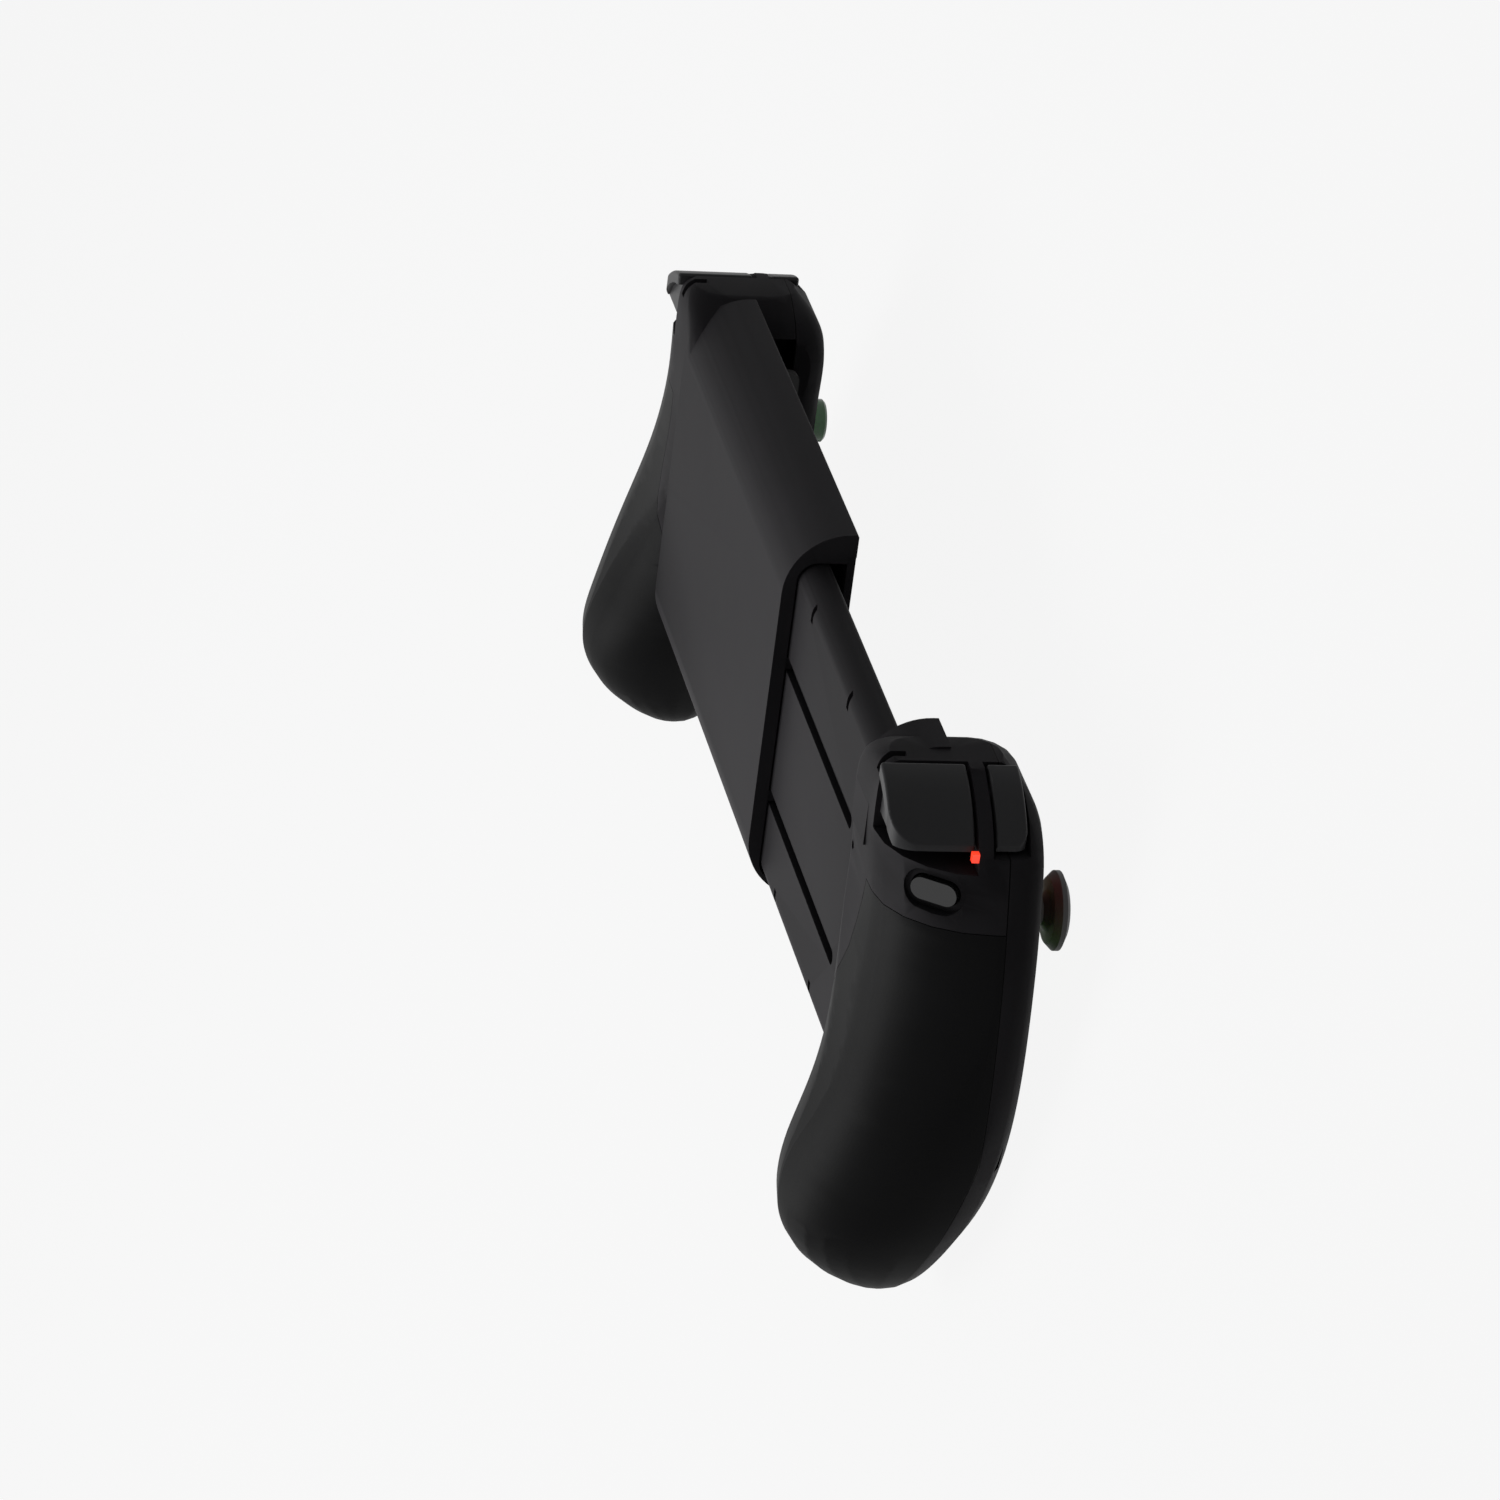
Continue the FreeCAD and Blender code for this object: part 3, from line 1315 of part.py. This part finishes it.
left_form = make_module_form("left_module_form", LEFT)
right_form = make_module_form("right_module_form", RIGHT)
doc.recompute()
nodes = [
    make_left_rear_shell(left_form),
    make_left_front_shell(left_form),
    make_grip_cover("left_grip_cover", LEFT, left_form),
    make_right_rear_shell(right_form),
    make_right_front_shell(right_form),
    make_grip_cover("right_grip_cover", RIGHT, right_form),
    make_bridge_bed(),
    make_slide_rails(),
    make_bridge_ribbon(),
    make_phone_pad("left_phone_pad", LEFT),
    make_phone_pad("right_phone_pad", RIGHT),
    make_phone_plug(),
    make_shoulder_light(),
]
for side_name, side, stick, keys, half, spread in (
    ("left", LEFT, "left_stick", "dpad", "dpad_board_half", "dpad_spread"),
    ("right", RIGHT, "right_stick", "cluster", "key_board_half", "cluster_spread"),
):
    stick_place = (side, f"{stick}_a", down(f"{stick}_drop"))
    key_place = (side, f"{keys}_a", down(f"{keys}_drop"))
    nodes += [
        make_trigger(f"{side_name}_trigger", side),
        make_trigger_pin(f"{side_name}_trigger_pin", side),
        make_bumper(f"{side_name}_bumper", side),
        make_bumper_pin(f"{side_name}_bumper_pin", side),
        make_light_ring(f"{side_name}_light_ring", *stick_place),
        make_stick_housing(f"{side_name}_stick_housing", *stick_place),
        make_stick_rocker(f"{side_name}_stick_rocker", *stick_place),
        make_stick_yoke(f"{side_name}_stick_yoke", *stick_place),
        make_stick_shaft(f"{side_name}_stick_shaft", *stick_place),
        make_stick_cap(f"{side_name}_stick_cap", *stick_place),
        make_back_button(f"{side_name}_back_button", side),
        make_main_board(f"{side_name}_main_board", side),
        make_key_board(f"{side_name}_key_board", *key_place, half),
        make_membrane(f"{side_name}_membrane", *key_place, half, spread),
        make_board_screws(f"{side_name}_board_screws", side),
    ]
for button_name, a, y in face_places():
    nodes.append(make_button(button_name, along(RIGHT, a), y, "face_radius", "face_height"))
for button_name, side, a, y in (
    ("view_button", LEFT, "small_high_a", down("small_high_drop")),
    ("share_button", LEFT, "small_low_a", "left_small_low_y"),
    ("menu_button", RIGHT, "small_high_a", down("small_high_drop")),
    ("home_button", RIGHT, "small_low_a", "right_small_low_y"),
):
    nodes.append(make_button(button_name, along(side, a), y, "small_radius", "small_height"))
nodes.append(make_d_pad())
nodes.append(make_d_pad_pivot())
doc.recompute()

# Check every object before anything is placed or written
for item in doc.Objects:
    if "Invalid" in item.State or "Error" in item.State:
        raise RuntimeError(f"{item.Name} ({item.Label}) did not compute: {item.State}")
for node in nodes:
    if node.Shape.isNull() or not node.Shape.isValid():
        raise RuntimeError(f"{node.Label} has no valid shape")


def surface_points(names):
    """Points on the surface of the named pieces, close enough together to find what touches the table."""
    points = []
    for node in nodes:
        if node.Label in names:
            points += node.Shape.tessellate(0.05)[0]
    return points


# On a table the controller lies on its two stick caps and the left grip. Each pass takes the point of each
# that reaches furthest down and turns the controller onto the plane through the three.
feet = [surface_points(names) for names in (
    ("left_stick_cap",),
    ("right_stick_cap",),
    ("left_front_shell", "left_grip_cover"),
)]
down_direction = Vector(0, -0.2, -1)
for attempt in range(8):
    contacts = [max(points, key=lambda point: point.dot(down_direction)) for points in feet]
    plane_normal = (contacts[1] - contacts[0]).cross(contacts[2] - contacts[0])
    plane_normal.normalize()
    down_direction = plane_normal if plane_normal.z < 0 else plane_normal * -1
rest_turn = Rotation(down_direction, Vector(0, 0, -1))
outside = [rest_turn.multVec(point) for point in surface_points([node.Label for node in nodes])]
limits = [[min(values), max(values)] for values in zip(*[(point.x, point.y, point.z) for point in outside])]
rest = Placement(Vector(-sum(limits[0]) / 2, -sum(limits[1]) / 2, -limits[2][0]), rest_turn)
for node in nodes:
    node.Placement = rest
doc.recompute()
print("rest", list(rest.Matrix.A))

os.makedirs("parts", exist_ok=True)
for node in nodes:
    node.Shape.exportStep(f"parts/{node.Label}.step")
    print(node.Label, len(node.Shape.Solids), round(node.Shape.Volume, 1))
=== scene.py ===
import json
import math

import bpy
from mathutils import Matrix, Vector

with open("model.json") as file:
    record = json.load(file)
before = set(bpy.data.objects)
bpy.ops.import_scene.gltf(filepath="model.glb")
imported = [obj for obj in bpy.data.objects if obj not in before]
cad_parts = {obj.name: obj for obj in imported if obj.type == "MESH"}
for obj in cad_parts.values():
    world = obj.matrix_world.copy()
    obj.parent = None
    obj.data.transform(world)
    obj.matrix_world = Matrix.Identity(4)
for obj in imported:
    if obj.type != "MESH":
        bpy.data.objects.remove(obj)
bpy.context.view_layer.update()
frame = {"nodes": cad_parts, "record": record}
nodes = frame["nodes"]
record = frame["record"]
MM = 0.001

# Line between the front and rear mouldings, in the controller's own millimetres. Above the height
# PARTING_KNEE it lies PARTING in front of the middle level, and below it runs straight to the rear.
PARTING = 9.2
PARTING_KNEE = 36.0

# The joint is a groove of this half width, fully dark over the core's share of it, and its depth is
# given as a multiple of the grain's relief
SEAM_HALF = 0.16
SEAM_CORE = 0.4
SEAM_DEPTH = 6.0

# Edges of a CAD mesh that bend by more than this stay sharp
SHARP_ANGLE = math.radians(31)
WELD = 0.002 * MM

# Plastic: broad handling marks, and a painted highlight that brightens edges where the surface bends outward
MARKS_SCALE = 38.0
MARKS_RANGE = (0.3, 0.7)
EDGE_RANGE = (0.52, 0.6)
ROUGH_SPREAD = 0.06
GRAIN_STRENGTH = 0.35

# Metal: fine brushing
BRUSH_SCALE = 2500.0
BRUSH_SHADE = 0.85
BRUSH_ROUGH = 0.15

# Lit lenses: the colour wanders by up to LENS_WANDER millimetres
LENS_SCALE = 900.0
LENS_WANDER = 2.0
LENS_ROUGH = 0.25
RED = (0.8, 0.02, 0.01)
WARM_RED = (0.9, 0.05, 0.02)
GREEN = (0.02, 0.6, 0.03)

# Camera: the picture's own directions in the controller's axes, and its place in millimetres
CAMERA_RIGHT = Vector((0.1769, 0.1169, -0.9773))
CAMERA_DOWN = Vector((0.4656, -0.8847, -0.0215))
CAMERA_AHEAD = Vector((-0.8671, -0.4512, -0.2109))
CAMERA_PLACE = (1167.5, 658.4, 294.4)
CAMERA_SENSOR = 36
CAMERA_LENS = 168

# Stage. FLOOR_WHITE is how far the floor turns white where it is seen: the rest shows the shadow.
FLOOR_REACH = 6.0
FLOOR_WHITE = 0.9
FLOOR_DARK = (0.25, 0.25, 0.25)
FLOOR_LIGHT = (0.28, 0.28, 0.28)
FLOOR_CLOUDS = 3.0
FLOOR_ROUGH = 0.9
HORIZON = (0.02, 0.02, 0.0215)
OVERHEAD = (0.35, 0.354, 0.37)
SKY_RANGE = (0.25, 0.95)
WHITE = (1, 1, 1)

# Lamps: name, place in the controller's millimetres, width in metres, power in watts
LAMPS = (
    ("key", (-150, -250, 1000), 0.8, 10),
    ("side", (900, -100, 350), 0.5, 0.6),
)
LAMP_AIM = (0, 60, 0)


# Frame of the controller itself: X to the left-hand module, Y to the triggers, Z out of the rear.
# The part lies tipped on its stick caps, and two mounts of the record give that turn and place.

mounts = {mount["name"]: mount for mount in record["mounts"]}
ALONG = Vector(mounts["phone_plug"]["axis"]).normalized()
OUT = -Vector(mounts["phone_bed"]["axis"]).normalized()
UP = OUT.cross(ALONG)
TURN = Matrix((ALONG, UP, OUT)).transposed()
BED_POINT = Vector((-40, 40, -1.5)) * MM
PLACE = Vector(mounts["phone_bed"]["pos_m"]) - TURN @ BED_POINT
BODY = Matrix.Translation(PLACE) @ TURN.to_4x4()


def at(x, y, z):
    """A point of the controller, given in its own millimetres."""
    return BODY @ (Vector((x, y, z)) * MM)


# Camera


def make_camera():
    """Long lens above the near module's end, at the photograph's angle and roll."""
    data = bpy.data.cameras.new("camera")
    data.sensor_width = CAMERA_SENSOR
    data.lens = CAMERA_LENS
    data.clip_start = 0.1
    data.clip_end = 20
    camera = bpy.data.objects.new("camera", data)
    bpy.context.scene.collection.objects.link(camera)
    axes = Matrix((TURN @ CAMERA_RIGHT, TURN @ -CAMERA_DOWN, TURN @ -CAMERA_AHEAD)).transposed()
    camera.matrix_world = Matrix.Translation(at(*CAMERA_PLACE)) @ axes.to_4x4()
    bpy.context.scene.camera = camera


# Nodes for the materials


def new_material(name):
    material = bpy.data.materials.new(name)
    material.use_nodes = True
    tree = material.node_tree
    shader = tree.nodes["Principled BSDF"]
    return material, tree, shader


def add_node(tree, kind, **values):
    """A new node. Each value goes to the input of that name, or else to the node's own property."""
    node = tree.nodes.new(kind)
    for key, value in values.items():
        if key in node.inputs:
            node.inputs[key].default_value = value
        else:
            setattr(node, key, value)
    return node


def object_place(tree):
    return add_node(tree, "ShaderNodeTexCoord").outputs["Object"]


def noise(tree, place, scale, detail, rough=0.5):
    texture = add_node(tree, "ShaderNodeTexNoise", Scale=scale, Detail=detail, Roughness=rough)
    tree.links.new(place, texture.inputs["Vector"])
    return texture.outputs["Fac"]


def ramp(tree, source, low, high, start=0.0, end=1.0):
    """Colour that goes from low to high while the source goes from start to end."""
    node = tree.nodes.new("ShaderNodeValToRGB")
    node.color_ramp.elements[0].position = start
    node.color_ramp.elements[0].color = (*low, 1)
    node.color_ramp.elements[1].position = end
    node.color_ramp.elements[1].color = (*high, 1)
    tree.links.new(source, node.inputs["Fac"])
    return node.outputs["Color"]


def spread_value(tree, source, low, high):
    """Value that goes from low to high while the source goes from zero to one."""
    node = add_node(tree, "ShaderNodeMapRange")
    node.inputs["To Min"].default_value = low
    node.inputs["To Max"].default_value = high
    tree.links.new(source, node.inputs["Value"])
    return node.outputs["Result"]


def combine(tree, operation, first, second=None, third=None):
    """Sum or other operation on numbers and outputs of nodes."""
    node = add_node(tree, "ShaderNodeMath", operation=operation)
    for socket, value in zip(node.inputs, (first, second, third)):
        if value is None:
            continue
        if isinstance(value, (int, float)):
            socket.default_value = value
        else:
            tree.links.new(value, socket)
    return node.outputs["Value"]


def multiply_colour(tree, colour, value):
    mix = add_node(tree, "ShaderNodeMix", data_type="RGBA", blend_type="MULTIPLY")
    mix.inputs["Factor"].default_value = 1.0
    tree.links.new(colour, mix.inputs["A"])
    tree.links.new(value, mix.inputs["B"])
    return mix.outputs["Result"]


def along_body(tree, place, axis):
    """How far a point lies along one of the controller's own axes, in millimetres."""
    dot = add_node(tree, "ShaderNodeVectorMath", operation="DOT_PRODUCT")
    tree.links.new(place, dot.inputs[0])
    dot.inputs[1].default_value = axis / MM
    return combine(tree, "SUBTRACT", dot.outputs["Value"], PLACE.dot(axis) / MM)


def seam_line(tree, place):
    """Zero in the fine joint between front and rear mouldings, and one elsewhere."""
    height = along_body(tree, place, UP)
    level = along_body(tree, place, OUT)
    slope = PARTING / PARTING_KNEE
    line = combine(tree, "MINIMUM", combine(tree, "MULTIPLY", height, slope), PARTING)
    apart = combine(tree, "ABSOLUTE", combine(tree, "ADD", level, line))
    step = add_node(tree, "ShaderNodeMapRange", interpolation_type="SMOOTHSTEP")
    step.inputs["From Min"].default_value = SEAM_HALF * SEAM_CORE
    step.inputs["From Max"].default_value = SEAM_HALF
    tree.links.new(apart, step.inputs["Value"])
    return step.outputs["Result"]


# Materials


def plastic(name, colour, rough, grain=0.0003, bump=0.00002, vary=0.12, specular=0.5, seam=False, edge_highlight=0.0):
    """Moulded plastic: spark-eroded grain, faint handling marks, and a painted highlight on edges that bend
    outward.
    """
    material, tree, shader = new_material(name)
    place = object_place(tree)
    marks = noise(tree, place, MARKS_SCALE, 5.0, 0.6)
    height = noise(tree, place, 1 / grain, 2.0)
    dark = tuple(channel * (1 - vary) for channel in colour)
    light = tuple(channel * (1 + vary) for channel in colour)
    shade = ramp(tree, marks, dark, light, *MARKS_RANGE)
    # Painted highlight: the colour is brightened on edges where the surface bends outward
    if edge_highlight:
        edges = add_node(tree, "ShaderNodeNewGeometry").outputs["Pointiness"]
        painted_edge_light = ramp(tree, edges, WHITE, (1 + edge_highlight, 1 + edge_highlight, 1 + edge_highlight), *EDGE_RANGE)
        shade = multiply_colour(tree, shade, painted_edge_light)
    if seam:
        joint = seam_line(tree, place)
        shade = multiply_colour(tree, shade, joint)
        height = combine(tree, "MULTIPLY_ADD", joint, SEAM_DEPTH, height)
    tree.links.new(shade, shader.inputs["Base Color"])
    satin = spread_value(tree, marks, rough - ROUGH_SPREAD, rough + ROUGH_SPREAD)
    tree.links.new(satin, shader.inputs["Roughness"])
    relief = add_node(tree, "ShaderNodeBump", Strength=GRAIN_STRENGTH, Distance=bump)
    tree.links.new(height, relief.inputs["Height"])
    tree.links.new(relief.outputs["Normal"], shader.inputs["Normal"])
    shader.inputs["Specular IOR Level"].default_value = specular
    return material


def glowing(name, stops, strength):
    """Lit lens. Its colour runs along the controller's height, from stops of (millimetres, colour)."""
    material, tree, shader = new_material(name)
    place = object_place(tree)
    low = stops[0][0]
    high = stops[-1][0]
    cloud = noise(tree, place, LENS_SCALE, 2.0)
    height = combine(tree, "MULTIPLY_ADD", cloud, LENS_WANDER, along_body(tree, place, UP))
    reach = add_node(tree, "ShaderNodeMapRange")
    reach.inputs["From Min"].default_value = low
    reach.inputs["From Max"].default_value = high
    tree.links.new(height, reach.inputs["Value"])
    band = tree.nodes.new("ShaderNodeValToRGB")
    colours = band.color_ramp.elements
    while len(colours) < len(stops):
        colours.new(0.5)
    for element, (at_height, colour) in zip(colours, stops):
        element.position = (at_height - low) / (high - low)
        element.color = (*colour, 1)
    tree.links.new(reach.outputs["Result"], band.inputs["Fac"])
    tree.links.new(band.outputs["Color"], shader.inputs["Base Color"])
    tree.links.new(band.outputs["Color"], shader.inputs["Emission Color"])
    shader.inputs["Emission Strength"].default_value = strength
    shader.inputs["Roughness"].default_value = LENS_ROUGH
    return material


def metal(name, colour, rough):
    """Brushed metal, a little darker and rougher in the brush marks."""
    material, tree, shader = new_material(name)
    brushed = noise(tree, object_place(tree), BRUSH_SCALE, 3.0)
    dark = tuple(channel * BRUSH_SHADE for channel in colour)
    tree.links.new(ramp(tree, brushed, dark, colour), shader.inputs["Base Color"])
    tree.links.new(spread_value(tree, brushed, rough, rough + BRUSH_ROUGH), shader.inputs["Roughness"])
    shader.inputs["Metallic"].default_value = 1.0
    return material


materials = {
    # The shell and the controls carry a painted highlight on their outward edges
    "shell": plastic("satin_shell", (0.017, 0.0162, 0.0174), 0.52, specular=0.02, seam=True, edge_highlight=0.5),
    "grip": plastic("textured_grip", (0.0065, 0.0065, 0.0067), 0.5, grain=0.00045, bump=0.00004,
                    specular=0.035, seam=True),
    "control": plastic("satin_controls", (0.028, 0.028, 0.029), 0.42, specular=0.1, edge_highlight=0.8),
    "pad": plastic("soft_pad", (0.008, 0.008, 0.008), 0.8),
    "plug": metal("plug_steel", (0.6, 0.6, 0.61), 0.25),
    "steel": metal("satin_steel", (0.5, 0.5, 0.52), 0.3),
    "red_light": glowing("red_lens", ((90, RED), (96, WARM_RED)), 1.2),
    "ring_light": glowing("ring_lens", ((35, GREEN), (60, RED), (62, GREEN), (87, RED)), 1.5),
    "stick_rubber": plastic("stick_rubber", (0.012, 0.012, 0.0125), 0.6),
    "stick_plastic": plastic("stick_plastic", (0.014, 0.014, 0.0145), 0.5),
    "board": plastic("board", (0.004, 0.05, 0.02), 0.35),
    "silicone": plastic("silicone", (0.12, 0.125, 0.13), 0.6),
    "cable": plastic("cable", (0.3, 0.12, 0.015), 0.3),
    "button_dark": plastic("dark_button", (0.01, 0.01, 0.0105), 0.25),
    "button_green": plastic("green_button", (0.01, 0.16, 0.02), 0.25),
    "button_red": plastic("red_button", (0.25, 0.012, 0.01), 0.25),
    "button_blue": plastic("blue_button", (0.01, 0.04, 0.25), 0.25),
    "button_yellow": plastic("yellow_button", (0.35, 0.2, 0.01), 0.25),
}


def gentle_edges():
    """Modifier that joins a mesh's faces and shades it smooth, except where an edge is sharp."""
    group = bpy.data.node_groups.new("gentle_edges", "GeometryNodeTree")
    group.interface.new_socket("Geometry", in_out="INPUT", socket_type="NodeSocketGeometry")
    group.interface.new_socket("Geometry", in_out="OUTPUT", socket_type="NodeSocketGeometry")
    start = group.nodes.new("NodeGroupInput")
    end = group.nodes.new("NodeGroupOutput")
    merge = add_node(group, "GeometryNodeMergeByDistance", Distance=WELD)
    smooth = group.nodes.new("GeometryNodeSetShadeSmooth")
    angle = group.nodes.new("GeometryNodeInputMeshEdgeAngle")
    sharp = add_node(group, "FunctionNodeCompare", data_type="FLOAT", operation="GREATER_THAN")
    sharp.inputs["B"].default_value = SHARP_ANGLE
    crease = add_node(group, "GeometryNodeSetShadeSmooth", domain="EDGE")
    crease.inputs["Shade Smooth"].default_value = False
    group.links.new(start.outputs["Geometry"], merge.inputs["Geometry"])
    group.links.new(merge.outputs["Geometry"], smooth.inputs["Geometry"])
    group.links.new(angle.outputs["Unsigned Angle"], sharp.inputs["A"])
    group.links.new(sharp.outputs["Result"], crease.inputs["Selection"])
    group.links.new(smooth.outputs["Geometry"], crease.inputs["Geometry"])
    group.links.new(crease.outputs["Geometry"], end.inputs["Geometry"])
    return group


def dress_nodes():
    """Each CAD node gets the material of its slot, and smooth shading across its gentle edges."""
    shading = gentle_edges()
    for entry in record["subparts"]:
        node = nodes[entry["node"]]
        node.data.materials.clear()
        node.data.materials.append(materials[entry["material_slot"]])
        node.modifiers.new("gentle_edges", "NODES").node_group = shading
        normals = node.modifiers.new("even_normals", "WEIGHTED_NORMAL")
        normals.keep_sharp = True


# Stage


def seen_directly(tree, share):
    """The share, for rays that look at the stage directly, in a reflection or through glass, or else zero."""
    paths = tree.nodes.new("ShaderNodeLightPath")
    seen = paths.outputs["Is Camera Ray"]
    for kind in ("Is Transmission Ray", "Is Glossy Ray"):
        seen = combine(tree, "MAXIMUM", seen, paths.outputs[kind])
    return combine(tree, "MULTIPLY", seen, share)


def make_floor():
    """Plain pale floor that keeps the shadow, and looks white wherever it is seen."""
    mesh = bpy.data.meshes.new("floor")
    corners = [(x * FLOOR_REACH, y * FLOOR_REACH, 0) for x, y in ((-1, -1), (1, -1), (1, 1), (-1, 1))]
    mesh.from_pydata(corners, [], [(0, 1, 2, 3)])
    floor = bpy.data.objects.new("floor", mesh)
    bpy.context.scene.collection.objects.link(floor)
    material, tree, shader = new_material("pale_floor")
    cloud = noise(tree, object_place(tree), FLOOR_CLOUDS, 3.0)
    tree.links.new(ramp(tree, cloud, FLOOR_DARK, FLOOR_LIGHT), shader.inputs["Base Color"])
    shader.inputs["Roughness"].default_value = FLOOR_ROUGH
    white = add_node(tree, "ShaderNodeEmission", Strength=1.0)
    mix = tree.nodes.new("ShaderNodeMixShader")
    tree.links.new(seen_directly(tree, FLOOR_WHITE), mix.inputs["Fac"])
    tree.links.new(shader.outputs["BSDF"], mix.inputs[1])
    tree.links.new(white.outputs["Emission"], mix.inputs[2])
    tree.links.new(mix.outputs["Shader"], tree.nodes["Material Output"].inputs["Surface"])
    floor.data.materials.append(material)


def make_world():
    """Soft surroundings, darker at the horizon than overhead, and white wherever they are seen."""
    world = bpy.data.worlds.new("studio")
    bpy.context.scene.world = world
    world.use_nodes = True
    tree = world.node_tree
    tree.nodes.clear()
    direction = add_node(tree, "ShaderNodeTexCoord").outputs["Generated"]
    split = tree.nodes.new("ShaderNodeSeparateXYZ")
    tree.links.new(direction, split.inputs["Vector"])
    sky = ramp(tree, split.outputs["Z"], HORIZON, OVERHEAD, *SKY_RANGE)
    soft = add_node(tree, "ShaderNodeBackground", Strength=1.0)
    white = add_node(tree, "ShaderNodeBackground", Strength=1.0)
    tree.links.new(sky, soft.inputs["Color"])
    white.inputs["Color"].default_value = (*WHITE, 1)
    mix = tree.nodes.new("ShaderNodeMixShader")
    out = tree.nodes.new("ShaderNodeOutputWorld")
    tree.links.new(seen_directly(tree, 1.0), mix.inputs["Fac"])
    tree.links.new(soft.outputs["Background"], mix.inputs[1])
    tree.links.new(white.outputs["Background"], mix.inputs[2])
    tree.links.new(mix.outputs["Shader"], out.inputs["Surface"])


def make_lamp(name, place, aim, width, power):
    """Round soft lamp at a place, turned to the point that it lights."""
    data = bpy.data.lights.new(name, "AREA")
    data.shape = "DISK"
    data.size = width
    data.energy = power
    lamp = bpy.data.objects.new(name, data)
    bpy.context.scene.collection.objects.link(lamp)
    lamp.location = place
    lamp.rotation_mode = "QUATERNION"
    lamp.rotation_quaternion = (aim - place).to_track_quat("-Z", "Y")


dress_nodes()
make_camera()
make_floor()
make_world()
for name, place, width, power in LAMPS:
    make_lamp(name, at(*place), at(*LAMP_AIM), width, power)
bpy.context.scene.view_settings.view_transform = "Standard"
